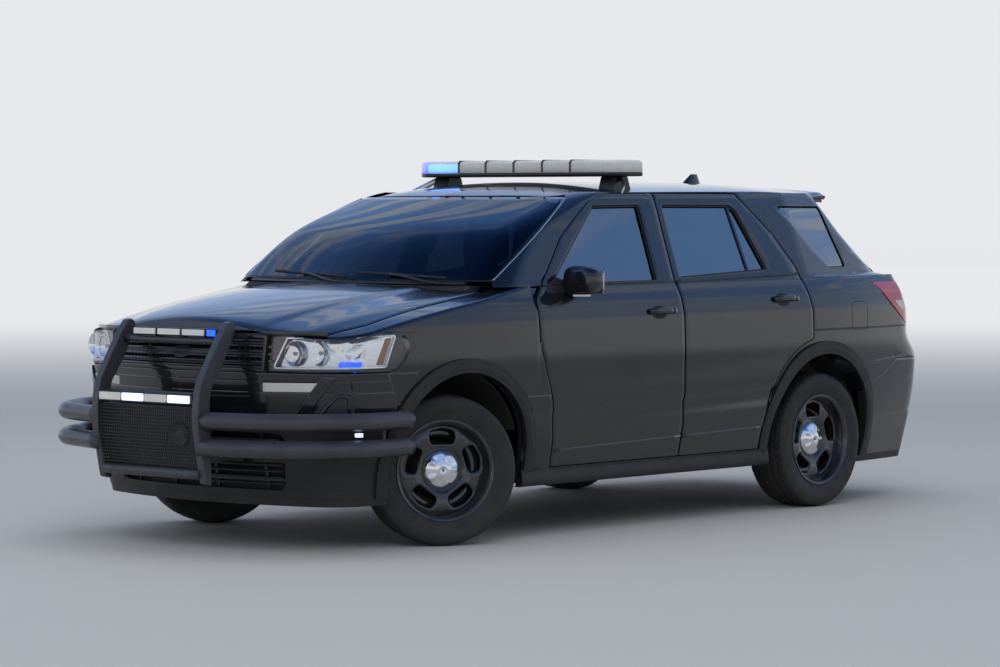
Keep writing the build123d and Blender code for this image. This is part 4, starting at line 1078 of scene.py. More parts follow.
class Flank:
    """The body's left side from sill to roof, followed round the rear corner: a table of plan outlines.

    The first parameter is y along the side and length along the outline behind y 2000.
    """

    start: float = 2000.0

    def __init__(self) -> None:
        self.z = np.arange(225.0, 1764.0, 6.0)
        self.u = np.concatenate([np.linspace(500, 1990, 30), np.arange(2000.0, 4300.0, 8.0)])
        rear = Wrap(1, BodyForm.tip[1])
        rows = []
        for z in self.z:
            line = rear.surface(rear.s, np.full_like(rear.s, z))[:, :2] if z <= BELT_Z else Cabin.ring(z)
            line = line[line[:, 1] > 1400] if z > BELT_Z else line
            line = line[np.concatenate([[True], np.linalg.norm(np.diff(line, axis=0), axis=1) > 0.01])]
            length = np.concatenate([[0], np.cumsum(np.linalg.norm(np.diff(line, axis=0), axis=1))])
            length += self.start - np.interp(self.start, line[:200, 1], length[:200])
            x, y = (np.interp(self.u, length, line[:, k]) for k in (0, 1))
            y = np.where(self.u < length[0], self.u, y)
            rows.append(np.stack([x, y], 1))
        self.table = np.array(rows)
        du = np.gradient(self.table, self.u, axis=1)
        dz = np.gradient(self.table, self.z, axis=0)
        along = np.concatenate([du, np.zeros_like(du[..., :1])], -1)
        up = np.concatenate([dz, np.ones_like(dz[..., :1])], -1)
        normal = np.cross(along, up)
        self.normal = normal / np.maximum(np.linalg.norm(normal, axis=-1, keepdims=True), 1e-6)

    def pick(self, table: np.ndarray, u: np.ndarray, z: np.ndarray) -> np.ndarray:
        """Values of a table at points between its rows and columns, blended from the four nearest."""
        i = np.clip(np.searchsorted(self.z, z) - 1, 0, len(self.z) - 2)
        j = np.clip(np.searchsorted(self.u, u) - 1, 0, len(self.u) - 2)
        a = np.clip((z - self.z[i]) / (self.z[i + 1] - self.z[i]), 0, 1)[..., None]
        b = np.clip((u - self.u[j]) / (self.u[j + 1] - self.u[j]), 0, 1)[..., None]
        return (table[i, j] * (1 - a) * (1 - b) + table[i + 1, j] * a * (1 - b)
                + table[i, j + 1] * (1 - a) * b + table[i + 1, j + 1] * a * b)

    def surface(self, u: np.ndarray, z: np.ndarray, proud: Amount = 0.0) -> np.ndarray:
        """Points at a length and a height, moved out along the normal."""
        u, z, proud = np.broadcast_arrays(np.asarray(u, float), np.asarray(z, float), np.asarray(proud, float))
        place = self.pick(self.table, u, z)
        normal = self.pick(self.normal, u, z)
        return np.concatenate([place, z[..., None]], -1) + normal * proud[..., None]

    def where_x(self, z: np.ndarray, x: np.ndarray) -> np.ndarray:
        """Length round the rear corner where the outline has come in to an x, at each height."""
        out = []
        for height, value in zip(np.atleast_1d(z), np.broadcast_to(x, np.shape(np.atleast_1d(z)))):
            row = self.pick(self.table, self.u, np.full_like(self.u, height))[:, 0]
            rear = self.u > 3000
            out.append(np.interp(-value, -row[rear], self.u[rear]))
        return np.array(out)


def crease(y: np.ndarray, z: np.ndarray) -> np.ndarray:
    """Relief of the side: a proud line that rises to the rear, a hollow below it and a fuller foot."""
    line = 627.0 + (y - 659.0) * (50.0 / 1688.0)
    d = z - line
    above = 6.0 * (1 - step(0, 170, d)) * (d >= 0)
    lip = 6.0 * step(-26, 0, d) * (d < 0)
    foot = 17.0 * step(30, 165, -d)
    return above + lip + foot


def tail_flare(z: np.ndarray) -> np.ndarray:
    """How far the tail's foot flares out over the rear bumper at a height."""
    return FLARE_DEPTH * step(945, 780, z) ** 1.3


@dataclass
class Openings:
    """Outlines of the doors and windows as y and z."""

    front_door_front: tuple[tuple[float, float], ...] = (
        (640, 345), (634, 480), (628, 600), (612, 690), (575, 800), (535, 910), (522, 1000), (518, 1080),
        (518, 1170), (540, 1190), (575, 1218), (618, 1254))
    front_window: tuple[tuple[float, float], ...] = ((664, 1236), (1166, 1634), (1536, 1638), (1505, 1240))
    rear_window: tuple[tuple[float, float], ...] = ((1692, 1252), (1718, 1638), (2284, 1636), (2332, 1610),
                                                    (2452, 1284))
    quarter_window: tuple[tuple[float, float], ...] = ((2672, 1628), (3160, 1626), (3262, 1292), (3062, 1290))
    front_frame: tuple[tuple[float, float], ...] = (
        (588, 1228), (618, 1254), (853, 1473), (1010, 1573), (1142, 1647), (1216, 1672), (1290, 1690),
        (1674, 1690), (1640, 1250), (1640, 1228))
    rear_frame: tuple[tuple[float, float], ...] = (
        (1650, 1228), (1650, 1250), (1684, 1690), (2362, 1690), (2583, 1476), (2698, 1300), (2714, 1228))
    window_r: float = 22.0
    arc_r: float = 548.0

    def rear_door_rear(self, z: np.ndarray) -> np.ndarray:
        """Rear edge of the rear door: round the wheel arch, then up the shut line."""
        arc = WHEELBASE - arch_reach(self.arc_r, z)
        line = np.interp(z, (910, 1080, 1300), (2743, 2743, 2700))
        return np.where(z < 910.4, arc, line)


@dataclass
class Doors:
    """The four doors' painted skins, window frames, belt mouldings, handles and sill strips."""

    flank: Flank
    openings: Openings = field(default_factory=Openings)
    edge: float = 1.0
    belt: float = 1229.0
    handle: dict[str, tuple[float, float]] = field(
        default_factory=lambda: {"front": (1450.0, 1086.0), "rear": (2500.0, 1128.0)})

    def build(self) -> None:
        """All four doors."""
        for side, sign in SIDES:
            for end in ("front", "rear"):
                self.door(end, side, sign)
        LOG.info("doors built")

    def edges(self, end: str, z: np.ndarray) -> tuple[np.ndarray, np.ndarray]:
        """y of the front and rear edges of a door at each height."""
        if end == "front":
            return at(self.openings.front_door_front, z) + self.edge, np.full_like(z, 1640 - self.edge)
        return np.full_like(z, 1650 + self.edge), self.openings.rear_door_rear(z) - self.edge

    def door(self, end: str, side: str, sign: float) -> None:
        """One door.

        Args:
            end: front or rear.
            side: left or right.
            sign: 1 for left, -1 for right.
        """
        body = f"door_{end}_{side}"
        z = np.concatenate([np.linspace(346, 560, 16), np.linspace(570, 720, 34), np.linspace(732, self.belt, 40)])
        front, rear = self.edges(end, z)
        y = between(front, rear, 44)
        grid = self.flank.surface(y, z[:, None], PROUD + crease(y, z[:, None]))
        Make.sheet(f"{body}_skin", [mirrored(grid, sign)], Finishes.paint, body, WALL, FROM_PLANE)
        window = np.array(self.openings.front_window if end == "front" else self.openings.rear_window)
        frame = np.array(self.openings.front_frame if end == "front" else self.openings.rear_frame, float)
        inner = grow(round_corners(window, self.openings.window_r), -3)
        outer = round_corners(frame, 12)
        centre = window.mean(0)
        ring = band(partial(self.flank.surface, proud=PROUD), centre, inner, outer, 4, 120)
        Make.ring(f"{body}_window_frame", mirrored(ring, sign), Finishes.piano, body, WALL, FROM_PLANE)
        seal = band(partial(self.flank.surface, proud=-4), centre, grow(inner, -9), grow(inner, 1), 2, 120)
        Make.ring(f"{body}_seal", mirrored(seal, sign), Finishes.rubber, body, 4, FROM_PLANE, 0.8)
        self.strips(end, body, sign)

    def strips(self, end: str, body: str, sign: float) -> None:
        """A door's belt moulding, handle and sill strip, and the divider of a rear door's glass."""
        y0, y1 = (606, 1636) if end == "front" else (1654, 2700)
        path_y = np.linspace(y0, y1, 24)
        path = self.flank.surface(path_y, np.linspace(1236, 1240 if end == "front" else 1262, 24), 5)
        Make.tube(f"{body}_belt_moulding", mirrored(path, sign), 8, Finishes.satin, body, 12, 0.5)
        self.pull(end, body, sign)
        strip_y = np.linspace(y0 + 50, 1632, 20) if end == "front" else np.linspace(1658, 2300, 20)
        strip_z = 424 + (strip_y - 646) * (36 / 1595)
        strip = self.flank.surface(strip_y, strip_z, PROUD + crease(strip_y, strip_z) + 1)
        Make.tube(f"{body}_sill_strip", mirrored(strip, sign), 9, Finishes.piano, body, 10, 0.45)
        if end == "rear":
            bar = np.array([(2287, 1262), (2303, 1262), (2287, 1636), (2271, 1636)], float)
            x_bar = self.flank.surface(bar[:, 0], bar[:, 1], -6)[:, 0]
            rings = np.stack([np.stack([x_bar - d, bar[:, 0], bar[:, 1]], 1) for d in (0, 10)])
            Make.closed(f"{body}_glass_divider", mirrored(rings, sign), Finishes.piano, body, True)

    def pull(self, end: str, body: str, sign: float) -> None:
        """Door handle: a bowed grip on two feet over a shallow dark cup."""
        y, z = self.handle[end]
        turn = whole_turn(40)
        cup = np.stack([y - 5 + 62 * np.cos(turn), z + 34 * np.sin(turn)], 1)

        def hollow(u: np.ndarray, h: np.ndarray) -> np.ndarray:
            """Cup surface: proud rim that falls to the middle."""
            reach = np.hypot((u - y + 5) / 62, (h - z) / 34)
            return self.flank.surface(u, h, PROUD + 1.2 - 1.0 * (1 - reach ** 2))

        grid = fill(hollow, (y - 5, z), cup, 8, 40)
        Make.ring(f"{body}_handle_cup", mirrored(grid, sign), Finishes.rubber, body, 2, FROM_PLANE, 0)
        along = np.linspace(-1, 1, 28)
        lift = 30 * (1 - along ** 6)
        grip = self.flank.surface(y + 88 * along, z + 4 + 0 * along, PROUD + 2 + lift)
        Make.tube(f"{body}_handle", mirrored(grip, sign), 14, Finishes.piano, body, 20, 0.55)
        lock = self.flank.surface(np.full(2, y + 118), np.full(2, z + 4), np.array([PROUD, PROUD + 8]))
        end_path = mirrored(np.linspace(lock[0], lock[1], 4), sign)
        Make.tube(f"{body}_handle_end", end_path, 15, Finishes.piano, body, 24)


@dataclass
class Shell:
    """Hood, roof, fenders, quarter panels, pillars, bumpers and tailgate skin."""

    flank: Flank
    nose: Wrap
    openings: Openings = field(default_factory=Openings)
    arch_in: float = FRONT_ARCH_IN
    hood_side: tuple[tuple[float, float], ...] = ((-760, 800), (-560, 852), (248, 845))
    tail_edge: tuple[tuple[float, float], ...] = (
        (790, 600), (960, 618), (1200, 632), (1262, 735), (1690, 664), (1770, 720))

    def build(self) -> None:
        """Every painted panel of the body."""
        self.hood()
        self.roof()
        for side, sign in SIDES:
            self.fender(side, sign)
            self.pillar(side, sign)
            self.quarter(side, sign)
        self.front_bumper()
        self.rear_bumper()
        self.tailgate()
        LOG.info("shell built")

    def deck_z(self, x: np.ndarray, y: np.ndarray) -> np.ndarray:
        """Hood height with its raised middle, whose edges run back from the grille to the cowl."""
        line = 470 + (y + 900) * 0.09
        dome = 7.0 * (1 - step(-26, 26, np.abs(x) - line)) * step(-930, -700, y)
        outer = 4.0 * np.exp(-((np.abs(x) - line - 230) / 60) ** 2)
        return BodyForm.deck(x, y) + PROUD + dome + outer

    def hood(self) -> None:
        """The hood: a leaning nose lip, a rounded edge and a crowned top."""
        u = np.linspace(-1, 1, 65)
        edge_y, edge_x = np.array(self.hood_side).T
        x0 = u * 800
        plan = 395 - np.sqrt(1405.0 ** 2 - x0 ** 2)
        z = np.full_like(x0, 1060.0)
        for _ in range(30):
            y_front = np.maximum(plan, BodyForm.nose(x0, z, PROUD)[..., 1])
            z = self.deck_z(x0, y_front)
        lip = np.linspace(0, 1, 6)[:, None]
        lip_z = 1044 * (1 - lip) + (z - 9)[None] * lip
        lip_y = np.maximum(plan[None], BodyForm.nose(x0[None] + 0 * lip_z, lip_z, PROUD)[..., 1])
        lip_x = x0[None] + 0 * lip_z
        y_rear = 1898 - np.sqrt(1852.0 ** 2 - (u * 845) ** 2)
        t = np.linspace(0, 1, 56)[:, None] ** 1.2
        y = (y_front + 14)[None] * (1 - t) + (y_rear - 1)[None] * t
        x = u[None] * (np.interp(y, edge_y, edge_x) - 1)
        top = self.deck_z(x, y) - 5 * (1 - step(0, 30, y - y_front[None]))
        rows = np.concatenate([np.stack([lip_x, lip_y, lip_z], -1), np.stack([x, y, top], -1)])
        Make.sheet("hood_skin", [rows], Finishes.paint, "hood", WALL, FROM_AXIS)

    def roof(self) -> None:
        """The roof: the lower of the crown and the cabin's own surface, blended where they meet."""
        u = np.sin(np.linspace(-math.pi / 2, math.pi / 2, 65))
        t = np.linspace(0, 1, 66)[:, None]
        half = 742.0
        x = u[None] * half + 0 * t
        low = 1676 + 27 * step(590, 655, np.abs(x[0]))
        y_front = np.array([np.interp(abs(v), (ring := Cabin.ring(h))[:45, 0], ring[:45, 1])
                            for v, h in zip(x[0], low)])
        y_rear = 3141.0
        y = y_front[None] * (1 - t) + y_rear * t
        reach = Cabin.half_width(y[:, 32], np.array([1703.0]))[0]
        reach = np.where(reach > 0, reach, half)
        x = np.where(y > 1500, u[None] * np.minimum(reach, half)[:, None], x)
        a, b = BodyForm.crown(x, y), Cabin.height(x, y)
        k = 9.0
        mix = np.clip(0.5 + 0.5 * (b - a) / k, 0, 1)
        z = b * (1 - mix) + a * mix - k * mix * (1 - mix) + 3.2
        grid = np.stack([x, y, z], -1)
        Make.sheet("roof_skin", [grid], Finishes.paint, BODY, 4.2, FROM_AXIS)

    @staticmethod
    def creased(y: np.ndarray, z: np.ndarray) -> np.ndarray:
        """Side surface with the doors' relief, which fades out ahead of them."""
        return BodyForm.side(y, z, PROUD + crease(y, z) * step(430, 640, y))

    def fender(self, side: str, sign: float) -> None:
        """A front fender: its side round the wheel arch and the shoulder that rolls over to the hood."""
        y = np.concatenate([np.linspace(-775, -320, 34), np.linspace(-310, 508, 44)])
        arch = ARCH_Z + np.sqrt(np.maximum(self.arch_in ** 2 - y ** 2, 0))
        start = np.maximum(700.0, np.where(np.abs(y) < self.arch_in, arch, 0))
        start = np.maximum(start, np.interp(-y, (400, 440), (600, 700), left=0, right=700))
        z = np.full_like(y, 1150.0)
        for _ in range(40):
            z = BodyForm.deck(BodyForm.side(y, z)[..., 0], y)
        shoulder = z
        hood_x = np.interp(y, *np.array(self.hood_side).T) + SHUT_GAP
        grids = []
        roll = 20.0
        z_lamp = np.linspace(846, 1034, 28)
        begin = self.nose.where(z_lamp, 1, np.interp(z_lamp, *np.array(LAMP_TIP).T)) - 3
        finish = self.nose.where(z_lamp, 1, np.full_like(z_lamp, -320.0))
        grids.append(self.nose.rows(z_lamp, begin, finish, 24, PROUD))
        z_low = np.linspace(700, 846, 14)
        seam = -np.interp(z_low, (600, 850), (400, 500))
        begin, finish = (self.nose.where(z_low, 1, v) for v in (seam, np.full_like(z_low, -320.0)))
        grids.append(self.nose.rows(z_low, begin, finish, 16, PROUD))
        lower = np.where(y < -320, 1034.0, start)
        upper = between(np.minimum(lower, shoulder - roll - 1), shoulder - roll, 20)
        wall = self.creased(y[:, None], upper)
        edge = BodyForm.side(y, shoulder, 0)[..., 0]
        inner = np.maximum(hood_x, edge - 160)
        top_x = between(edge - roll, np.minimum(inner, edge - roll - 2), 10)
        top = np.stack([top_x, y[:, None] + 0 * top_x, BodyForm.deck(top_x, y[:, None]) + PROUD], -1)
        corner = np.stack([edge + PROUD + 1.5, y, shoulder + PROUD + 1.5], -1)
        t = np.linspace(0, 1, 9)[None, 1:-1, None]
        bend = (1 - t) ** 2 * wall[:, -1:] + 2 * t * (1 - t) * corner[:, None] + t * t * top[:, :1]
        grids.append(np.concatenate([wall, bend, top], 1))
        z = np.linspace(290, 700, 40)
        door_y = at(self.openings.front_door_front, z) - SHUT_GAP
        grids.append(self.creased(between(arch_reach(self.arch_in, z), door_y, 12), z[:, None]))
        z = np.linspace(700, 960, 24)
        door_y = at(self.openings.front_door_front, z) - SHUT_GAP
        ys = between(np.full_like(z, 508.0), np.maximum(door_y, 509), 12)
        grids.append(self.creased(ys, z[:, None]))
        z = np.linspace(601, 700, 10)
        line = -np.interp(z, (600, 850), (400, 500)) + 1
        ys = between(line, np.maximum(-arch_reach(self.arch_in, z), line), 12)
        grids.append(BodyForm.side(ys, z[:, None], PROUD))
        Make.sheet(f"fender_skin_{side}", [mirrored(g, sign) for g in grids], Finishes.paint, BODY, WALL,
                   (0, math.nan, 600))

    def pillar(self, side: str, sign: float) -> None:
        """A windshield pillar: from the glass round the corner to the door's edge, with a bright metal strip along
        the glass edge that stands in for the reflection there, a painted highlight.
        """
        heights = np.linspace(1232, 1700, 60)
        door_z, door_y = (1254, 1473, 1573, 1647, 1690, 1702), (618, 853, 1010, 1142, 1290, 1400)

        def door_edge(ring: np.ndarray, length: np.ndarray, z: float) -> float:
            """Length at the door's edge."""
            return float(np.interp(np.interp(z, door_z, door_y) - 9, ring[:, 1], length))

        grid = Cabin.strip(heights, Cabin.glass_edge, door_edge, 26, PROUD)
        Make.sheet(f"windshield_pillar_{side}", [mirrored(grid, sign)], Finishes.paint, BODY, WALL, FROM_CABIN)
        # A bright metal strip along the glass edge: a painted highlight in place of the reflection that runs along
        # the pillar.
        line = Cabin.strip(np.linspace(1262, 1664, 50), Cabin.glass_edge,
                           lambda ring, length, z: Cabin.glass_edge(ring, length, z) + 4, 2, PROUD + 1.5)[:, 0]
        Make.tube(f"pillar_highlight_strip_{side}", mirrored(line, sign), 4, Finishes.pillar_highlight_finish, BODY, 10)

    def quarter(self, side: str, sign: float) -> None:
        """A rear quarter: above the arch, round the corner to the tailgate, and round its window."""
        grids = []
        arch = 475.0
        z = np.linspace(590, 955, 32)
        start = self.openings.rear_door_rear(z) + SHUT_GAP
        low = WHEELBASE - arch_reach(arch, z)
        seam = np.interp(z, (660, 690, 780, 1000), (3250, 3430, 3600, 3600))
        ys = between(start, np.where(z < 850, np.maximum(low, start + 1), WHEELBASE), 26)
        relief = crease(ys, z[:, None]) * step(2900, 2700, ys)
        grids.append(self.flank.surface(ys, z[:, None], PROUD + relief))
        begin = np.where(z < 850, WHEELBASE + arch_reach(arch, z), WHEELBASE)
        finish = np.where(z < 780, np.maximum(seam, begin + 1),
                          self.flank.where_x(z, np.interp(z, (790, 960), (600, 618)) + SHUT_GAP + 2))
        us = between(begin, finish, 40)
        flare = tail_flare(z[:, None]) * step(3560, 4010, us)
        grids.append(self.flank.surface(us, z[:, None], PROUD + flare))
        z = np.linspace(955, 1238, 22)
        lamp = np.interp(z, *TAIL_LAMP_EDGE)
        start = self.openings.rear_door_rear(z) + SHUT_GAP
        finish = np.where(z < 1206, lamp, self.flank.where_x(z, np.full_like(z, 652.0)))
        grids.append(self.flank.surface(between(start, finish, 40), z[:, None], PROUD))
        Make.sheet(f"quarter_skin_{side}", [mirrored(g, sign) for g in grids], Finishes.paint, BODY, WALL,
                   (0, math.nan, 700))
        window = grow(round_corners(self.openings.quarter_window, 22), -1)
        heights = np.linspace(1240, 1698, 12)
        front = np.interp(heights, (1240, 1300, 1476, 1692), (2712, 2700, 2583, 2363)) + 10
        rear = self.flank.where_x(heights, np.interp(heights, (1200, 1262, 1690), (660, 735, 664)) + SHUT_GAP + 2)
        outline = np.concatenate([np.stack([front, heights], 1), np.stack([rear, heights], 1)[::-1]])
        ring = band(partial(self.flank.surface, proud=PROUD), np.array(self.openings.quarter_window).mean(0),
                    window, outline, 8, 100)
        Make.ring(f"rear_pillar_{side}", mirrored(ring, sign), Finishes.paint, BODY, WALL, (0, 2600, 900))

    def bumper_rows(self, z: np.ndarray, x0: np.ndarray, cols: int = 30) -> np.ndarray:
        """Left half rows of the front bumper from an x on the nose to its edge at the wheel arch."""
        start = self.nose.where(z, 0, x0)
        arch = -arch_reach(self.arch_in, z) - 2
        seam = -np.interp(z, (310, 600, 846), (380, 400, 500))
        stop = self.nose.where(z, 1, np.minimum(arch, seam))
        return self.nose.rows(z, start, stop, cols, PROUD)

    def front_bumper(self) -> None:
        """The front bumper round its lower mouth and the slot for the fog lamps."""
        painted, lower = [], []
        for sign in (1.0, -1.0):
            z = np.linspace(612, 756, 16)
            painted.append(mirrored(self.bumper_rows(z, np.zeros_like(z), 44), sign))
            z = np.linspace(808, 845, 8)
            painted.append(mirrored(self.bumper_rows(z, np.zeros_like(z), 44), sign))
            z = np.linspace(756, 808, 10)
            stop = self.nose.where(z, 0, np.full_like(z, 502.0))
            start = self.nose.where(z, 0, np.zeros_like(z))
            painted.append(mirrored(self.nose.rows(z, start, stop, 40, PROUD), sign))
            painted.append(mirrored(self.bumper_rows(z, np.full_like(z, 895.0), 16), sign))
            z = np.linspace(564, 612, 8)
            lower.append(mirrored(self.bumper_rows(z, np.zeros_like(z), 44), sign))
            z = np.linspace(288, 564, 24)
            mouth = np.interp(z, (290, 560), (564, 604))
            lower.append(mirrored(self.bumper_rows(z, mouth, 30), sign))
            z = np.linspace(252, 288, 7)
            lower.append(mirrored(self.bumper_rows(z, np.zeros_like(z), 40), sign))
        away = (0, 200, math.nan)
        Make.sheet("front_bumper_painted", painted, Finishes.paint, BODY, WALL, away)
        Make.sheet("front_bumper_lower", lower, Finishes.cladding, BODY, WALL, away)

    def rear_bumper(self) -> None:
        """The rear bumper: painted above, grey below, wrapped round both corners."""
        wrap = Wrap(1, BUMPER_TIP, lean=False)
        painted, lower = [], []
        for sign in (1.0, -1.0):
            for target, z in ((lower, np.linspace(252, 470, 18)), (painted, np.linspace(470, 776, 24))):
                start = wrap.where(z, 0, np.zeros_like(z))
                arch = WHEELBASE + arch_reach(self.arch_in, z) + 4
                seam = np.interp(z, (660, 690, 780), (3262, 3436, 3604))
                stop = wrap.where(z, 1, np.where(z > 655, np.maximum(seam, arch), np.maximum(3254, arch)))
                target.append(mirrored(wrap.rows(z, start, stop, 54, PROUD), sign))
        z = np.linspace(0, 1, 12)[:, None]
        x = np.linspace(-1, 1, 61)[None]
        back = BodyForm.tail(x * 780, np.full_like(x, 776.0), PROUD, BUMPER_TIP, False)[..., 1]
        ledge = np.stack([x * 780 + 0 * z, back * (1 - z) + 3872 * z, 776 + 8 * z + 0 * x], -1)
        painted.append(ledge)
        away = (0, 3000, math.nan)
        Make.sheet("rear_bumper_painted", painted, Finishes.paint, BODY, WALL, away)
        Make.sheet("rear_bumper_lower", lower, Finishes.bumper_grey, BODY, WALL, away)
        for sign in (1.0, -1.0):
            z = np.linspace(560, 600, 5)
            wraps = wrap.where(z, 0, np.full_like(z, 620.0)), wrap.where(z, 0, np.full_like(z, 800.0))
            Make.sheet(f"rear_reflector_{'left' if sign > 0 else 'right'}",
                       [mirrored(wrap.rows(z, wraps[0], wraps[1], 16, PROUD + 4), sign)], Finishes.red_lens, BODY,
                       5, away)

    def tailgate(self) -> None:
        """The tailgate's skin: below the belt, round its window, and the spoiler lip."""
        z = np.linspace(792, 1243, 60)
        half = np.interp(z, *np.array(self.tail_edge).T) - 1
        u = np.linspace(-1, 1, 61)[None]
        x = u * half[:, None]
        panel = BodyForm.tail(x, z[:, None] + 0 * x, PROUD)
        panel[..., 1] += tail_flare(z[:, None])
        away = (0, 2000, 900)
        Make.sheet("tailgate_skin_lower", [panel], Finishes.paint, "tailgate", WALL, away)
        window = grow(round_corners([(-672, 1305), (672, 1305), (596, 1628), (-596, 1628)], 45), -1)
        outline = np.array([(-733, 1264), (-690, 1246), (690, 1246), (733, 1264), (664, 1668), (-664, 1668)], float)
        ring = band(partial(BodyForm.glass_rear, proud=PROUD), (0, 1460), window, outline, 6, 100)
        Make.ring("tailgate_window_surround", ring, Finishes.piano, "tailgate", WALL, away)
        t = np.linspace(0, 1, 30)[:, None]
        x = np.sin(np.linspace(-math.pi / 2, math.pi / 2, 61))[None] * 655
        rear = 3322 + 158 * (1 - (x / 655) ** 2)
        y = 3152 * (1 - t) + rear * t
        z_top = BodyForm.crown(x, y) + 3.5 - 6 * step(0.93, 1.0, t) + 10 * step(0.3, 0.85, t)
        z_top = z_top - 14 * step(600, 655, np.abs(x))
        Make.sheet("roof_spoiler", [np.stack([x + 0 * t, y, z_top], -1)], Finishes.paint, "tailgate", 20, FROM_AXIS,
                   4)
        grip = round_corners([(-300, 950), (300, 950), (330, 1040), (-330, 1040)], 20)
        panel = fill(partial(BodyForm.tail, proud=PROUD + 5), (0, 995), grip, 10, 80)
        Make.ring("tailgate_handle_panel", panel, Finishes.piano, "tailgate", 5, away)
        plate = round_box((-152, 858), (152, 938), 8)
        panel = fill(partial(BodyForm.tail, proud=PROUD + 6), (0, 898), plate, 6, 60)
        Make.ring("blank_rear_plate", panel, Finishes.plate, "tailgate", 3, away)


@dataclass
class Cladding:
    """Grained wheel-arch flares and sills, over the frame's plain ones."""

    outer: float = 523.0
    radii: tuple[float, ...] = (523, 520, 512, 500, 485, 468, 459, 456, 456, 456)
    stand: tuple[float, ...] = (-3, 8, 15, 17.5, 18, 17.5, 14, 6, -20, -45)

    def build(self) -> None:
        """Both sides' flares and sills."""
        for side, sign in SIDES:
            for end, centre in (("front", 0.0), ("rear", WHEELBASE)):
                self.flare(end, side, sign, centre)
            self.sill(side, sign)
        LOG.info("cladding built")

    def flare(self, end: str, side: str, sign: float, centre: float) -> None:
        """One flare: its section rises from the body, runs flat and turns in round the arch.

        Args:
            end: front or rear.
            side: left or right.
            sign: 1 for left, -1 for right.
            centre: y of the axle.
        """
        low = math.asin((252 - ARCH_Z) / self.outer)
        theta = np.linspace(low, math.pi - low, 150)[:, None]
        radius, stand = np.array(self.radii, float)[None], np.array(self.stand, float)[None]
        y = centre + radius * np.cos(theta)
        z = np.maximum(ARCH_Z + radius * np.sin(theta), 251)
        grid = BodyForm.side(y, z, 0, TAIL_TIP if end == "front" else BUMPER_TIP)
        grid = grid + np.stack([stand + 0 * y, 0 * y, 0 * y], -1)
        Make.sheet(f"arch_flare_{end}_{side}", [mirrored(grid, sign)], Finishes.cladding, BODY, 3.5,
                   (0, centre, ARCH_Z), 1.0)

    def sill(self, side: str, sign: float) -> None:
        """One sill: a rounded section along the rocker between the arches."""
        y = np.linspace(440, 2418, 60)[:, None]
        x = np.array([905, 936, 944, 947, 950, 953, 950, 944, 930, 905, 890])[None]
        z = np.array([337, 337, 333, 320, 300, 280, 264, 255, 250.5, 250, 250])[None]
        grid = np.stack([x + 0 * y, y + 0 * x, z + 0 * y], -1)
        Make.sheet(f"sill_{side}", [mirrored(grid, sign)], Finishes.cladding, BODY, 3, (700, math.nan, 295), 1.0)


@dataclass
class Glasshouse:
    """Windshield, quarter windows and rear window, with the windshield's dark printed border."""

    flank: Flank
    openings: Openings = field(default_factory=Openings)
    thick: float = 5.0

    def build(self) -> None:
        """All glass that the frame's own panes don't give well enough."""
        away = FROM_CABIN
        centre = (0.0, 1450.0)
        pane = round_corners([(-774, 1245), (774, 1245), (639, 1669), (-639, 1669)], 40)
        half = Cabin.strip(np.linspace(1258, 1671, 36), lambda ring, length, z: 0.0, Cabin.glass_edge, 30, 3.2)
        half[:, 0, 0] = 0.0
        shield = Make.sheet("windshield", [half, mirrored(half, -1)], Finishes.windshield, BODY, 3.0, away, 0)
        clear = round_corners([(-735, 1262), (735, 1262), (628, 1585), (-628, 1585)], 40)
        border = band(partial(BodyForm.glass_front, proud=-8.5), centre, clear, grow(pane, 3), 3, 140)
        Make.ring("windshield_border", border, Finishes.rubber, BODY, 1.5, away, 0)
        panes = [shield]
        for side, sign in SIDES:
            outline = grow(round_corners(self.openings.quarter_window, 22), -1.2)
            middle = np.array(self.openings.quarter_window).mean(0)
            grid = fill(partial(self.flank.surface, proud=-2.5), middle, outline, 10, 60)
            panes.append(Make.ring(f"quarter_glass_{side}", mirrored(grid, sign), Finishes.tinted, BODY, self.thick,
                                   away, 0))
        for piece in panes:
            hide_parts("fixed_glass")
        rear = round_corners([(-671, 1306), (671, 1306), (595, 1627), (-595, 1627)], 45)
        grid = fill(partial(BodyForm.glass_rear, proud=-5), (0, 1465), rear, 12, 72)
        window = Make.ring("rear_window", grid, Finishes.tinted, "tailgate", self.thick, away, 0)
        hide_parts("tailgate_glass")
        LOG.info("glass built")


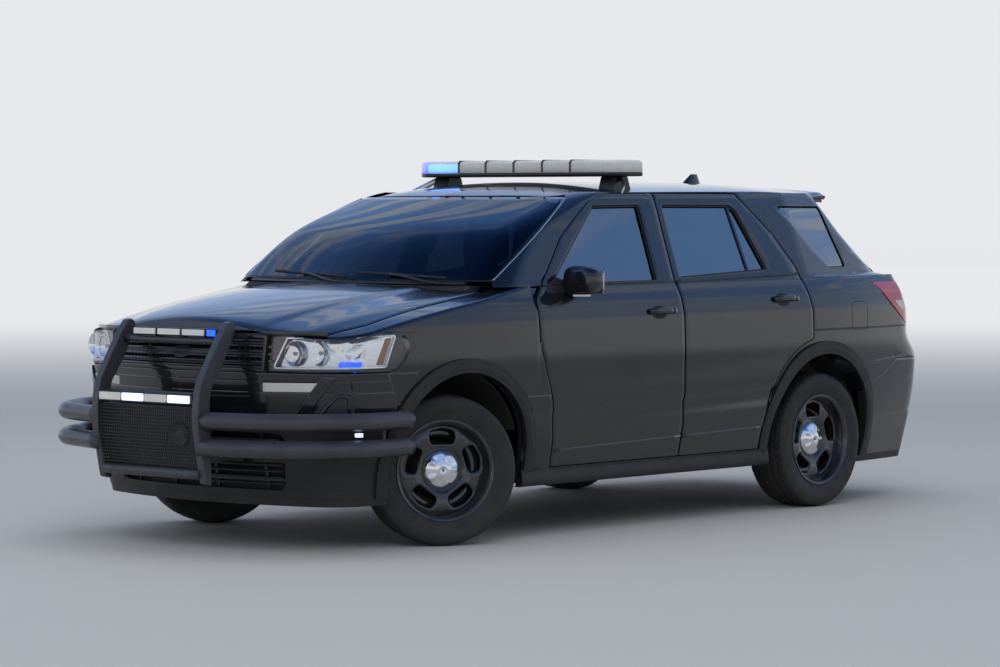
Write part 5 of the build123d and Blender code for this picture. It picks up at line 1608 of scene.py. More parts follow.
@dataclass
class FrontEnd:
    """Headlamps, fog strips, grille bars, dark bezels and lower openings.

    Outlines have x and height; past `turn` the first value goes on as length round the corner.
    """

    nose: Wrap
    lamp: tuple[tuple[float, float], ...] = ((532, 852), (549, 1022), (798, 1036))
    turn: float = 885.0
    bowls: tuple[tuple[float, float, float], ...] = ((668, 938, 60), (796, 942, 62))
    recesses: tuple[tuple[tuple[float, float], ...], ...] = (
        ((518, 744), (738, 744), (664, 646), (518, 640)), ((748, 650), (868, 796), (912, 760), (904, 640)))
    grille_z: tuple[float, ...] = (872, 897, 922, 947, 972, 997)
    mouth_z: tuple[float, ...] = (318, 348, 378, 408, 438, 468, 498, 528)

    def surface(self, proud: float) -> Surface:
        """Nose surface at a given proudness, from x and height, bounded above by the deck."""

        def give(x: np.ndarray, z: np.ndarray) -> np.ndarray:
            """Nose point: behind the turn every depth rises to lie just proud of the fender."""
            over = np.abs(x) - self.turn
            s = self.nose.where(np.ravel(z), 0, np.minimum(np.abs(np.ravel(x)), self.turn)).reshape(np.shape(z))
            level = proud + (3 + (proud if proud > 0 else proud / 10) - proud) * step(8, 48, over)
            place = self.nose.surface(s - np.maximum(over, 0), z, level)
            roof = BodyForm.deck(place[..., 0], place[..., 1]) + min(proud, 0) - 5
            place[..., 2] = np.minimum(place[..., 2], roof)
            return place * np.where(np.asarray(x) < 0, -1.0, 1.0)[..., None] ** np.array([1, 0, 0])

        return give

    def wrapped(self, y: float, z: float) -> float:
        """First value of an outline at a point of the side that has this y."""
        return float(self.turn + self.nose.where(z, 0, self.turn)[0] - self.nose.where(z, 1, y)[0])

    def face(self, name: str, outline: np.ndarray, proud: float, finish: Finish, sign: float, thick: float,
             spans: tuple[int, int], bevel: float = 1.2, centre: Optional[np.ndarray] = None) -> bpy.types.Object:
        """A filled outline at a depth on the nose.

        Args:
            name: the piece's name.
            outline: closed outline as x and height.
            proud: how far it stands out from the nose.
            finish: its finish.
            sign: 1 for left, -1 for right.
            thick: its wall in millimetres.
            spans: spans from its centre to the outline, and least spans round it.
            bevel: radius of its edges in millimetres.
            centre: where its rays start, or None for the outline's mean.

        Returns:
            The new object.
        """
        grid = fill(self.surface(proud), outline.mean(0) if centre is None else centre, outline, *spans)
        return Make.ring(name, mirrored(grid, sign), finish, BODY, thick, FROM_NOSE, bevel)

    def line(self, x: Sequence[float], z: Sequence[float], proud: float, count: int) -> np.ndarray:
        """Points at a depth on the nose, evenly from one x and height to another."""
        return self.surface(proud)(np.linspace(*x, count), np.linspace(*z, count))

    def build(self) -> None:
        """Both sides' lamps, then the grille between them."""
        for side, sign in SIDES:
            self.headlamp(side, sign)
            self.fog(side, sign)
        self.grille()
        LOG.info("front end built")

    def headlamp(self, side: str, sign: float) -> None:
        """A headlamp: dark housing, two reflectors, a chrome rim, an amber corner and a clear lens."""
        tip = [(self.wrapped(y, z), z) for z, y in LAMP_TIP]
        outline = round_corners([*self.lamp, *tip[::-1]], 8)
        clear = round_corners([(560, 868), (632, 1012), (self.wrapped(-455, 1022), 1022),
                               (self.wrapped(-520, 872), 872)], 12)
        centre = np.array((760.0, 945.0))
        housing = self.face(f"headlamp_housing_{side}", outline, -34, Finishes.piano, sign, 4, (10, 70), 0, centre)
        lens = self.face(f"headlamp_lens_{side}", outline, 1.5, Finishes.lens, sign, 3, (10, 70), 0, centre)
        ring = rays(outline, centre, ring_angles(centre, 70, outline))
        grid = np.array([self.surface(proud)(ring[:, 0], ring[:, 1]) for proud in (0.5, -12, -26, -36)])
        walls = Make.ring(f"headlamp_wall_{side}", mirrored(grid, sign), Finishes.piano, BODY, 2, FROM_NOSE, 0)
        for piece in (housing, lens, walls):
            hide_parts("front_lamps")
        bezel = band(self.surface(-6), centre, clear, grow(outline, -2), 4, 90)
        Make.ring(f"headlamp_bezel_{side}", mirrored(bezel, sign), Finishes.piano, BODY, 3, FROM_NOSE)
        rim = band(self.surface(-3), centre, grow(clear, -5), grow(clear, 3), 3, 90)
        Make.ring(f"headlamp_rim_{side}", mirrored(rim, sign), Finishes.chrome, BODY, 4, FROM_NOSE)
        for index, (x, z, radius) in enumerate(self.bowls):
            self.bowl(f"headlamp_reflector_{index}_{side}", x, z, radius, sign)
        end = self.wrapped(-520, 890)
        corner = round_corners([(end - 60, 884), (end - 4, 1008), (end + 34, 1010), (end - 18, 884)], 6)
        self.face(f"headlamp_amber_{side}", corner, -14, Finishes.amber_lens, sign, 8, (6, 40))
        self.face(f"headlamp_floor_{side}", grow(clear, 6), -25, Finishes.reflector, sign, 2, (8, 70), 0,
                  clear.mean(0))
        strobe = round_corners([(858, 876), (950, 876), (956, 900), (862, 900)], 6)
        self.face(f"corner_strobe_{side}", strobe, -4, Finishes.blue_lit, sign, 5, (4, 30))
        for row, z in enumerate((900, 934, 968)):
            fin = self.line((538, 560), (z, z), 1, 6)
            Make.tube(f"lamp_fin_{row}_{side}", mirrored(fin, sign), 5, Finishes.bumper_grey, BODY, 12)

    def bowl(self, name: str, x: float, z: float, radius: float, sign: float) -> None:
        """A reflector bowl, its depth the square of the distance from its axis, with a bulb in the middle."""
        base = self.surface(-30)(np.array([x]), np.array([z]))[0]
        r = np.linspace(0.04, 1, 14)[:, None] * radius
        turn = whole_turn(40)[None]
        depth = 26 * (1 - (r / radius) ** 2)
        scallop = 1.0 * np.cos(turn * 20) * (r / radius)
        grid = np.stack([base[0] + r * np.cos(turn), base[1] - 24 + depth + scallop + 0 * turn,
                         base[2] + r * np.sin(turn)], -1)
        Make.ring(name, mirrored(grid, sign), Finishes.reflector, BODY, 2, (x, base[1] + 400, z), 0)
        bulb = np.array([(base[0], base[1] + 4, base[2]), (base[0], base[1] - 10, base[2]),
                         (base[0], base[1] - 16, base[2])])
        Make.tube(f"{name}_bulb", mirrored(bulb, sign), 9, Finishes.off_light, BODY, 18)

    def fog(self, side: str, sign: float) -> None:
        """The strip lamp under the headlamp, with its divider."""
        outline = round_corners([(501, 757), (501, 799), (812, 803), (780, 760)], 8)
        back = self.face(f"fog_strip_back_{side}", outline, -20, Finishes.reflector, sign, 3, (6, 50), 0)
        lens = self.face(f"fog_strip_lens_{side}", outline, 1.5, Finishes.grey_lens, sign, 4, (6, 50), 1)
        for piece in (back, lens):
            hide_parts("front_lamps")
        blank = round_corners([(784, 754), (816, 809), (899, 809), (899, 766)], 5)
        self.face(f"fog_blank_{side}", blank, 2.6, Finishes.piano, sign, 4, (5, 40))
        for index, shape in enumerate(self.recesses):
            recess = round_corners(shape, 14)
            self.face(f"corner_recess_{index}_{side}", recess, 3.4, Finishes.satin, sign, 4, (6, 60))
        bar = round_corners([(858, 836), (806, 838), (664, 642), (724, 632)], 12)
        self.face(f"corner_bar_{side}", bar, 11, Finishes.paint, sign, 12, (6, 60), 3)
        hook = np.array([(790, 660), (862, 742), (884, 730), (880, 660)], float)
        path = self.surface(7)(hook[:, 0], hook[:, 1])
        Make.tube(f"corner_hook_{side}", mirrored(curve_path(path, 60), sign), 8, Finishes.piano, BODY, 12, 0.5)

    def grille(self) -> None:
        """Upper grille bars with a fine mesh behind, its frame, and the bars of the lower mouth."""
        frame = round_corners([(-512, 849), (512, 849), (530, 1027), (-530, 1027)], 14)
        grid = band(self.surface(3), (0, 938), grow(frame, -16), frame, 3, 120)
        Make.ring("grille_frame", grid, Finishes.piano, BODY, 14, FROM_NOSE)
        for row, z in enumerate(self.grille_z):
            half = 500 + (z - 850) * 0.1
            path = self.line((-half, half), (z, z), -6, 40)
            Make.tube(f"grille_bar_{row}", path, 8.5, Finishes.piano, BODY, 14, 1.4)
        for index, x in enumerate(np.linspace(-480, 480, 33)):
            Make.tube(f"grille_rib_{index}", self.line((x, x), (856, 1018), -19, 8), 3, Finishes.satin, BODY, 8)
        turn = whole_turn(60)
        badge = np.stack([62 * np.cos(turn), 938 + 30 * np.sin(turn)], 1)
        self.face("grille_centre_blank", badge, 7, Finishes.satin, 1.0, 18, (6, 40), centre=np.array((0.0, 938.0)))
        z = np.linspace(262, 572, 20)[:, None]
        x = np.linspace(-612, 612, 60)[None]
        grid = self.surface(-58)(x + 0 * z, z + 0 * x)
        Make.sheet("mouth_backing", [grid], Finishes.underseal, BODY, 3, FROM_NOSE, 0)
        for row, z in enumerate(self.mouth_z):
            Make.tube(f"mouth_bar_{row}", self.line((-555, 555), (z, z), -24, 40), 6, Finishes.satin, BODY, 10, 1.6)


@dataclass
class PushBar:
    """Push bar: bent uprights, cross tubes, tubes round both corners, mesh, siren and light heads."""

    upright_x: tuple[float, float] = (330.0, 372.0)
    tube_r: float = 42.0
    cross: tuple[tuple[float, float, float], ...] = (
        (-1141, 372, 24), (-1120, 500, 24), (-1122, 625, 24), (-1128, 735, 20), (-1004, 992, 16))

    def build(self) -> None:
        """Every piece of the push bar."""
        paint = Finishes.powder
        turn = np.linspace(0, 1, 14)[:, None]

        def bend(a: Points, b: Points, c: Points) -> np.ndarray:
            """Arc-like curve through three points."""
            a, b, c = (np.array(p, float) for p in (a, b, c))
            control = 2 * b - (a + c) / 2
            return (1 - turn) ** 2 * a + 2 * turn * (1 - turn) * control + turn ** 2 * c

        outline = np.concatenate([
            [(-1095, 320), (-1135, 330)], bend((-1183, 560), (-1186, 690), (-1165, 800)),
            bend((-1150, 826), (-1082, 945), (-1010, 1054)),
            [(-988, 1080), (-968, 1085), (-948, 1076), (-940, 1056)],
            bend((-954, 1020), (-1010, 908), (-1082, 802)), bend((-1090, 790), (-1107, 690), (-1100, 560))])
        made = []
        for side, sign in SIDES:
            low, high = sorted((sign * self.upright_x[0], sign * self.upright_x[1]))
            made.append(Make.prism(f"push_bar_upright_{side}", outline, Axis.X, low, high, paint, BODY, 5))
            for index, z in enumerate((500, 625)):
                path = bend_path([(self.upright_x[0] + 12, -1150, z), (780, -1010, z), (1000, -700, z),
                                  (1003, -418, z)], 300, 16)
                path = np.concatenate([np.linspace(path[0], path[1], 6)[:-1], path[1:-1],
                                       np.linspace(path[-2], path[-1], 8)[1:]])
                name = f"wrap_tube_{index}_{side}"
                made.append(Make.tube(name, mirrored(path, sign), self.tube_r, paint, BODY, 40))
                cap = np.array([(1003, -419, z), (1003, -415, z), (1003, -412, z)], float)
                Make.tube(f"wrap_cap_{index}_{side}", mirrored(cap, sign), self.tube_r - 4, Finishes.rubber, BODY,
                          32)
            bracket = round_corners([(-1128, 425), (-790, 440), (-790, 485), (-1128, 500)], 8)
            low, high = sign * 350 - 16, sign * 350 + 16
            made.append(Make.prism(f"push_bar_arm_{side}", bracket, Axis.X, low, high, paint, BODY, 4))
            marker = round_box((-748, 556), (-716, 574), 3)
            Make.prism(f"side_marker_{side}", marker, Axis.X, *sorted((sign * 966, sign * 990)), Finishes.white_lit,
                       BODY, 1.5)
            link = np.linspace((972.0, -560.0, 500.0), (972.0, -560.0, 625.0), 8)
            made.append(Make.tube(f"wrap_link_{side}", mirrored(link, sign), 9, paint, BODY, 16))
        for index, (y, z, radius) in enumerate(self.cross):
            path = np.array([(x, y, z) for x in np.linspace(-332, 332, 12)])
            made.append(Make.tube(f"cross_tube_{index}", path, radius, paint, BODY, 32))
        for piece in made:
            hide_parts("push_bar")
        self.mesh()
        self.lights()
        LOG.info("push bar built")

    def mesh(self) -> None:
        """Mesh panel of crossed wires between the uprights, with the siren's horn in front."""
        wire = Finishes.satin
        rows_z, rows_y = (396, 470, 560, 690), (-1146, -1160, -1172, -1174)
        z = np.linspace(396, 690, 24)[:, None]
        x = np.linspace(-329, 329, 3)[None]
        plate = np.stack([x + 0 * z, smooth(rows_z, rows_y, z) + 0 * x, z + 0 * x], -1)
        Make.sheet("mesh_backing", [plate], Finishes.piano, BODY, 3, (0, 0, 500))
        for index, x in enumerate(np.linspace(-318, 318, 41)):
            z = np.linspace(398, 688, 14)
            path = np.stack([np.full_like(z, x), smooth(rows_z, rows_y, z) - 2, z], 1)
            Make.tube(f"mesh_upright_{index}", path, 2.4, wire, BODY, 6)
        for index, z in enumerate(np.linspace(410, 680, 18)):
            y = float(smooth(rows_z, rows_y, np.array(z))) - 3
            path = np.array([(x, y, z) for x in np.linspace(-328, 328, 12)])
            Make.tube(f"mesh_cross_{index}", path, 2.4, wire, BODY, 6)
        turn = whole_turn(48)[None]
        r = np.array([6, 30, 52, 66, 70, 70, 58, 30, 14])[:, None]
        y = np.array([-1180, -1173, -1171, -1178, -1184, -1172, -1160, -1150, -1140])[:, None]
        grid = np.stack([232 + r * np.cos(turn), y + 0 * turn, 560 + 0.8 * r * np.sin(turn)], -1)
        Make.closed("siren_horn", grid, Finishes.cladding, BODY)

    def lights(self) -> None:
        """Light heads: three above between the uprights and one long bar at the bulge."""
        case, off = Finishes.satin, Finishes.off_light
        made = []
        heads = ((-250, -90, off), (-82, 82, off), (90, 250, off), (262, 326, Finishes.blue_lit))
        for index, (x0, x1, lens) in enumerate(heads):
            shape = round_box((x0, 1012), (x1, 1050), 8)
            made.append(Make.prism(f"upper_head_{index}_case", shape, Axis.Y, -1026, -992, case, BODY, 3))
            Make.prism(f"upper_head_{index}_lens", grow(shape, -5), Axis.Y, -1032, -1024, lens, BODY, 2)
            foot = round_box((x0 + 30, 980), (x1 - 20, 1014), 4)
            Make.prism(f"upper_head_{index}_foot", foot, Axis.Y, -1012, -1004, case, BODY, 1)
        shape = round_box((-328, 698), (328, 748), 10)
        made.append(Make.prism("lower_light_case", shape, Axis.Y, -1184, -1146, case, BODY, 4))
        lit = (off, Finishes.white_lit, off, Finishes.white_lit)
        for index, lens in enumerate(lit):
            x0 = -316 + index * 160
            seg = round_box((x0, 705), (x0 + 150, 741), 6)
            Make.prism(f"lower_light_lens_{index}", seg, Axis.Y, -1190, -1180, lens, BODY, 2)
        for piece in made:
            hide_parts("push_bar_lights")


@dataclass
class Wheel:
    """One wheel with its tyre: pressed steel disc with five windows, chrome cap, brake and grooved tread."""

    end: str
    side: str
    sign: float
    spokes: int = 5
    height: tuple[tuple[float, float], ...] = (
        (0, 36), (84, 37), (100, 50), (120, 62), (150, 68), (180, 69), (205, 62), (222, 55))
    window: tuple[float, float, float] = (159.0, 116.0, 76.0)
    grooves: tuple[float, ...] = (-70.0, -24.0, 24.0, 70.0)

    @property
    def body(self) -> str:
        """The body it spins with."""
        return f"wheel_{self.end}_{self.side}"

    def place(self, local: np.ndarray) -> np.ndarray:
        """Points from the wheel's own frame, outward along X, to the vehicle's.

        A front wheel is turned about its kingpin by the parked steering angle.

        Args:
            local: points with the hub's centre at the origin.

        Returns:
            Points in millimetres from the front axle.
        """
        p = np.asarray(local, float) * (self.sign, self.sign, 1.0)
        if self.end == "rear":
            return p + (self.sign * TRACK / 2, WHEELBASE, TYRE_R)
        p = p + (self.sign * (TRACK / 2 - KINGPIN_X), 0, TYRE_R)
        c, s = math.cos(STEER_REST), math.sin(STEER_REST)
        x, y = p[..., 0] * c - p[..., 1] * s, p[..., 0] * s + p[..., 1] * c
        return np.stack([x + self.sign * KINGPIN_X, y, p[..., 2]], -1)

    def lathe(self, name: str, profile: Points, material: Finish, count: int = 96) -> bpy.types.Object:
        """Closed section turned about the axle.

        Args:
            name: the piece's name.
            profile: section as distance along the axle and radius, closed.
            material: its finish.
            count: spans round the axle.

        Returns:
            The new object.
        """
        section = np.asarray(profile, float)
        turn = whole_turn(count)[:, None]
        local = np.stack([section[None, :, 0] + 0 * turn, section[None, :, 1] * np.cos(turn),
                          section[None, :, 1] * np.sin(turn)], -1)
        return self.revolved(name, local, material)

    def revolved(self, name: str, local: np.ndarray, material: Finish) -> bpy.types.Object:
        """Mesh from turned sections, closed both ways round and facing away from the ring's core."""
        count, cols = local.shape[:2]
        verts = self.place(local).reshape(-1, 3)
        rows = np.concatenate([Make.quads(count, cols, True),
                               np.array([[(count - 1) * cols + k, (count - 1) * cols + (k + 1) % cols,
                                          (k + 1) % cols, k] for k in range(cols)])])
        p = verts[rows]
        core = verts.reshape(count, cols, 3).mean(1)[rows[:, 0] // cols]
        outward = np.sum(np.cross(p[:, 2] - p[:, 0], p[:, 3] - p[:, 1]) * (p.mean(1) - core))
        return Make.mesh(name, verts, rows if outward > 0 else rows[:, ::-1], material, self.body)

    def tread(self) -> bpy.types.Object:
        """The tyre: its section turned, with grooves round it and blocks cut across the shoulders.

        A groove takes 7 mm off the radius within 5 mm of its line. A sipe takes 5 mm off where the angle, run
        on by the distance from the middle, falls in the last quarter of its pitch.
        """
        w, bead = TYRE_WIDTH / 2, 102.0
        wall_x = np.array([bead, bead + 6, w - 12, w - 5, w, w - 0.5, w - 3, w - 8])
        wall_r = np.array([232, 244, 262, 280, 303, 318, 333, 346])
        tread_x = np.linspace(w - 14, -(w - 14), 46)
        tread_r = TYRE_R - 8 * (np.abs(tread_x) / (w - 14)) ** 5 - 1.2 * (tread_x / w) ** 2
        inner_x = np.linspace(-bead, bead, 8)
        section_x = np.concatenate([wall_x, tread_x, -wall_x[::-1], inner_x[1:-1]])
        section_r = np.concatenate([wall_r, tread_r, wall_r[::-1], np.full(6, 231.0)])
        turn = whole_turn(280)[:, None]
        x, r = section_x[None] + 0 * turn, section_r[None] + 0 * turn
        on_tread = (r > 350) & (np.abs(x) < w - 12)
        near = np.min(np.abs(x[..., None] - np.array(self.grooves)), -1)
        cut = 7.0 * np.clip(1 - (near - 3.5) / 1.5, 0, 1)
        lane = np.digitize(section_x, self.grooves)[None]
        phase = (turn * 60 / (2 * math.pi) + x * 0.018 * np.where(lane % 2 == 0, 1, -1) + lane * 0.37) % 1.0
        cut = np.maximum(cut, 4.5 * (phase > 0.80) * (np.abs(x) > 26))
        rib = 0.8 * (np.abs(r - 300) < 6) * (np.abs(x) > w - 10)
        r = r - cut * on_tread + rib
        local = np.stack([x, r * np.cos(turn), r * np.sin(turn)], -1)
        return self.revolved(f"tyre_{self.end}_{self.side}_tread", local, Finishes.tyre)

    def disc(self) -> bpy.types.Object:
        """The pressed disc: five bands, each between a window and the edge of its fifth."""
        radius, long, short = self.window
        window = round_corners([(-long / 2, radius - short / 2 + 3), (long / 2, radius - short / 2 + 3),
                                (long / 2 + 6, radius + short / 2 - 12), (0, radius + short / 2 + 2),
                                (-long / 2 - 6, radius + short / 2 - 12)], 24)
        half = math.pi / self.spokes
        inner = [(86 * math.sin(a), 86 * math.cos(a)) for a in np.linspace(half, -half, 10)]
        outer = [(223 * math.sin(a), 223 * math.cos(a)) for a in np.linspace(-half, half, 18)]
        left = [(-r * math.sin(half), r * math.cos(half)) for r in np.linspace(86, 223, 8)[1:-1]]
        right = [(r * math.sin(half), r * math.cos(half)) for r in np.linspace(223, 86, 8)[1:-1]]
        wedge = np.array(inner + left + outer + right, float)
        rows_r, rows_h = np.array(self.height).T

        def pressed(u: np.ndarray, v: np.ndarray) -> np.ndarray:
            """Height over the disc at a point of its plane."""
            return np.stack([smooth(rows_r, rows_h, np.hypot(u, v)), u, v], -1)

        one = band(pressed, (0, radius), window, wedge, 6, 60)
        lip = np.array([-9.0, -2.0] + [0.0] * (one.shape[0] - 2))
        one[..., 0] += lip[:, None]
        grids = []
        for index in range(self.spokes):
            c, s = math.cos(2 * math.pi * index / self.spokes), math.sin(2 * math.pi * index / self.spokes)
            x, y, z = np.moveaxis(one, -1, 0)
            local = np.stack([x, y * c - z * s, y * s + z * c], -1)
            grids.append(self.place(local))
        inside = self.place(np.array([-400.0, 0, 0]))
        return Make.sheet(f"{self.body}_disc", grids, Finishes.steel_black, self.body, 5, inside, 1.5, True)

    def build(self) -> None:
        """Every piece of the wheel."""
        steel = Finishes.steel_black
        rim = [(104, 245), (109, 246), (112, 242), (110, 234), (103, 228), (92, 224), (60, 222), (40, 210),
               (-60, 210), (-86, 223), (-102, 226), (-110, 234), (-112, 242), (-109, 246), (-104, 245), (-101, 233),
               (-84, 229), (-58, 217), (38, 217), (58, 228), (98, 232)]
        pieces = [self.lathe(f"{self.body}_rim", rim, steel), self.disc()]
        lip = [(111, 245), (113, 243.5), (112.6, 239), (110.5, 240)]
        pieces.append(self.lathe(f"{self.body}_rim_edge", lip, Finishes.worn_edge))
        turn = whole_turn(90)[:, None]
        r = np.array([2, 22, 38, 50, 61, 72, 82, 90, 96, 94])[None]
        rise = np.array([80, 79, 76, 70, 66, 64, 60, 52, 42, 38])[None]
        bump = 9 * np.exp(-((r - 64) / 14) ** 2) * np.clip(np.cos(turn * self.spokes), 0, 1) ** 2
        cap = np.stack([rise + bump, r * np.cos(turn), r * np.sin(turn)], -1)
        back = cap[:, ::-1] * (0, 1, 1) + (34, 0, 0)
        pieces.append(self.revolved(f"{self.body}_cap", np.concatenate([cap, back], 1), Finishes.chrome))
        hub = [(-45, 20), (-45, 165), (-37, 165), (-37, 120), (-27, 120), (-27, 165), (-19, 165), (-19, 78),
               (28, 75), (28, 20)]
        pieces.append(self.lathe(f"{self.body}_brake_disc", hub, Finishes.bare_steel))
        ring = [(10, 150), (10, 205), (-8, 205), (-8, 150)]
        pieces.append(self.lathe(f"{self.body}_back_ring", ring, steel, 64))
        tyre = self.tread()
        for piece in pieces:
            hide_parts(self.body)
        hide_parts(f"tyre_{self.end}_{self.side}")


@dataclass
class LightBar:
    """Roof light bar: black tray and lid line, clear segments with modules behind, feet and straps."""

    half: float = 730.0
    modules: tuple[tuple[float, float], ...] = (
        (-628, -400), (-390, -205), (-195, -10), (10, 195), (205, 390), (400, 628))

    def plan(self, inset: float) -> np.ndarray:
        """Outline from above, moved in."""
        wide, narrow = self.half, self.half - 90
        corners = [(-wide, 1500), (-narrow, 1440), (narrow, 1440), (wide, 1500), (wide, 1640), (narrow, 1700),
                   (-narrow, 1700), (-wide, 1640)]
        return grow(round_corners(corners, 40), -inset)

    def layer(self, name: str, steps: Points, material: Finish) -> bpy.types.Object:
        """A closed layer from rows of height and inset."""
        rings = np.stack([np.column_stack([self.plan(i), np.full(len(self.plan(i)), z)]) for z, i in steps])
        return Make.closed(name, rings, material, BODY)

    def build(self) -> None:
        """Every piece of the light bar."""
        tray = self.layer("light_bar_tray", [(1783, 26), (1783.5, 8), (1787, 2), (1798, 0), (1802, 1), (1803, 3)],
                          Finishes.satin)
        dome = self.layer("light_bar_lens", [(1803.2, 4), (1806, 2), (1848, 2), (1858, 5), (1865, 13), (1868, 26),
                                             (1869, 60)], Finishes.grey_lens)
        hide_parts("light_bar")
        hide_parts("light_bar")
        for face, y0, y1 in (("front", 1452, 1470), ("rear", 1670, 1688)):
            for index, (x0, x1) in enumerate(self.modules):
                lit = face == "front" and index == 0
                shape = round_box((x0, 1812), (x1, 1850), 6)
                finish = Finishes.blue_core if lit else Finishes.off_light
                Make.prism(f"light_bar_module_{face}_{index}", shape, Axis.Y, y0, y1, finish, BODY, 3)
        for index, x in enumerate((-395, -200, 0, 200, 395)):
            shape = round_corners([(1437, 1806), (1437, 1856), (1452, 1872), (1688, 1872), (1703, 1856),
                                   (1703, 1806)], 4)
            Make.prism(f"light_bar_divider_{index}", shape, Axis.X, x - 5, x + 5, Finishes.piano, BODY, 1.5)
        for side, sign in SIDES:
            end = Finishes.blue_lit if sign < 0 else Finishes.off_light
            module = round_box((1500, 1812), (1640, 1850), 6)
            Make.prism(f"light_bar_end_{side}", module, Axis.X, *sorted((sign * 700, sign * 716)), end, BODY, 3)
            foot = round_corners([(1490, 1700), (1650, 1700), (1620, 1784), (1520, 1784)], 14)
            piece = Make.prism(f"light_bar_foot_{side}", foot, Axis.X, *sorted((sign * 540, sign * 640)),
                               Finishes.satin, BODY, 5)
            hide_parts("light_bar_mount")
            path = curve_path([(sign * 640, 1560, 1776), (sign * 690, 1520, 1744), (sign * 728, 1480, 1716),
                               (sign * 741, 1450, 1699), (sign * 747, 1440, 1684)], 30)
            Make.tube(f"light_bar_strap_{side}", path, 15, Finishes.silver, BODY, 14, 0.25)
        LOG.info("light bar built")


@dataclass
class Trim:
    """Mirrors, wipers, cowl, tail lamps and fuel flap."""

    flank: Flank

    def build(self) -> None:
        """Every trim piece."""
        for side, sign in SIDES:
            self.mirror(side, sign)
            self.tail_lamp(side, sign)
        self.wipers()
        self.fuel_flap()
        LOG.info("trim built")

    def mirror(self, side: str, sign: float) -> None:
        """A door mirror: a rounded shell, each point on a box raised to a power, with its glass and arm."""
        body = f"door_front_{side}"
        v = np.linspace(-math.pi / 2, math.pi / 2, 37)[:, None]
        u = whole_turn(64)[None]
        cu, su, cv, sv = (squared(wave(a), 0.62) for a in (u, v) for wave in (np.cos, np.sin))
        x = 1040 + 107 * cv * cu
        y = 806 + 62 * cv * su - 10 * np.abs(cv * cu)
        z = 1258 + 74 * sv * (1 - 0.10 * cv * cu) + 4 * (x - 1040) / 107
        y = np.minimum(y, 846.0)
        grid = mirrored(np.stack([x, y, z + 0 * u], -1), sign)
        shell = Make.closed(f"mirror_shell_{side}", grid, Finishes.piano, body)
        path = curve_path([(905, 800, 1196), (960, 798, 1200), (1010, 800, 1216), (1030, 802, 1240)], 20)
        arm = Make.tube(f"mirror_arm_{side}", mirrored(path, sign), 27, Finishes.satin, body, 24, 0.7)
        for piece in (shell, arm):
            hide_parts(f"mirror_{side}")
        pane = round_corners([(994, 1190), (1130, 1194), (1132, 1316), (1000, 1312)], 22)
        Make.prism(f"mirror_glass_{side}", mirrored(np.insert(pane, 1, 0, 1), sign)[:, [0, 2]], Axis.Y, 845, 849,
                   Finishes.chrome, body, 1)
        strip = round_corners([(1010, 1180), (1120, 1182), (1120, 1192), (1010, 1190)], 3)
        Make.prism(f"mirror_strip_{side}", mirrored(np.insert(strip, 1, 0, 1), sign)[:, [0, 2]], Axis.Y, 752, 758,
                   Finishes.off_light, body, 1)
        sail = round_corners([(596, 1196), (690, 1262), (812, 1262), (840, 1200)], 12)
        grid = fill(partial(self.flank.surface, proud=PROUD + 5), sail.mean(0), sail, 5, 40)
        Make.ring(f"mirror_base_{side}", mirrored(grid, sign), Finishes.satin, body, 6)

    def tail_lamp(self, side: str, sign: float) -> None:
        """A tail lamp that wraps the corner: red lens and a clear strip."""
        z = np.linspace(958, 1203, 34)
        start = np.interp(z, *TAIL_LAMP_EDGE) + 2
        stop = self.flank.where_x(z, np.interp(z, (955, 1200), (634, 646)))
        u = between(start, stop, 60)
        bulge = 7 * np.clip(np.sin(math.pi * (z - 950) / 262), 0, 1)[:, None] ** 0.5
        grid = self.flank.surface(u, z[:, None], bulge)
        lens = Make.sheet(f"tail_lens_{side}", [mirrored(grid, sign)], Finishes.red_lens, BODY, 8, (0, 2500, 1000),
                          2)
        rows = (z > 1040) & (z < 1100)
        clear = self.flank.surface(u[rows][:, 8:50], z[rows, None], 8.5)
        Make.sheet(f"tail_clear_{side}", [mirrored(clear, sign)], Finishes.grey_lens, BODY, 3, (0, 2500, 1000), 1)

    def wipers(self) -> None:
        """Two wipers parked along the foot of the windshield, and the cowl grille ahead of it."""
        for index, (x0, x1) in enumerate(((640, 80), (30, -560))):
            x = np.linspace(x0, x1, 30)
            z = 1272 + 26 * np.sin(np.linspace(0.1, 1.2, 30))
            blade = BodyForm.glass_front(x, z, 9)
            Make.tube(f"wiper_blade_{index}", blade, 7, Finishes.rubber, BODY, 8, 0.6)
            rise = 1250 + 40 * step(0, 1, np.linspace(0, 1, 20))
            arm = BodyForm.glass_front(np.linspace(x0, x0 - 330, 20), rise, 20)
            Make.tube(f"wiper_arm_{index}", arm, 7, Finishes.satin, BODY, 10, 0.7)
        x = np.linspace(-748, 748, 60)[None]
        z = np.linspace(1246, 1260, 5)[:, None]
        grid = BodyForm.glass_front(x + 0 * z, z + 0 * x, 1)
        Make.sheet("cowl_grille", [grid], Finishes.satin, BODY, 6, FROM_CABIN)

    def fuel_flap(self) -> None:
        """The round-cornered shut line of the fuel flap on the left quarter."""
        outline = round_box((3115, 950), (3275, 1105), 32)
        surface = partial(self.flank.surface, proud=PROUD + 0.9)
        grid = band(surface, outline.mean(0), grow(outline, -2.5), outline, 1, 60)
        Make.ring("fuel_flap_line", grid, Finishes.rubber, BODY, 2, FROM_AXIS, 0)


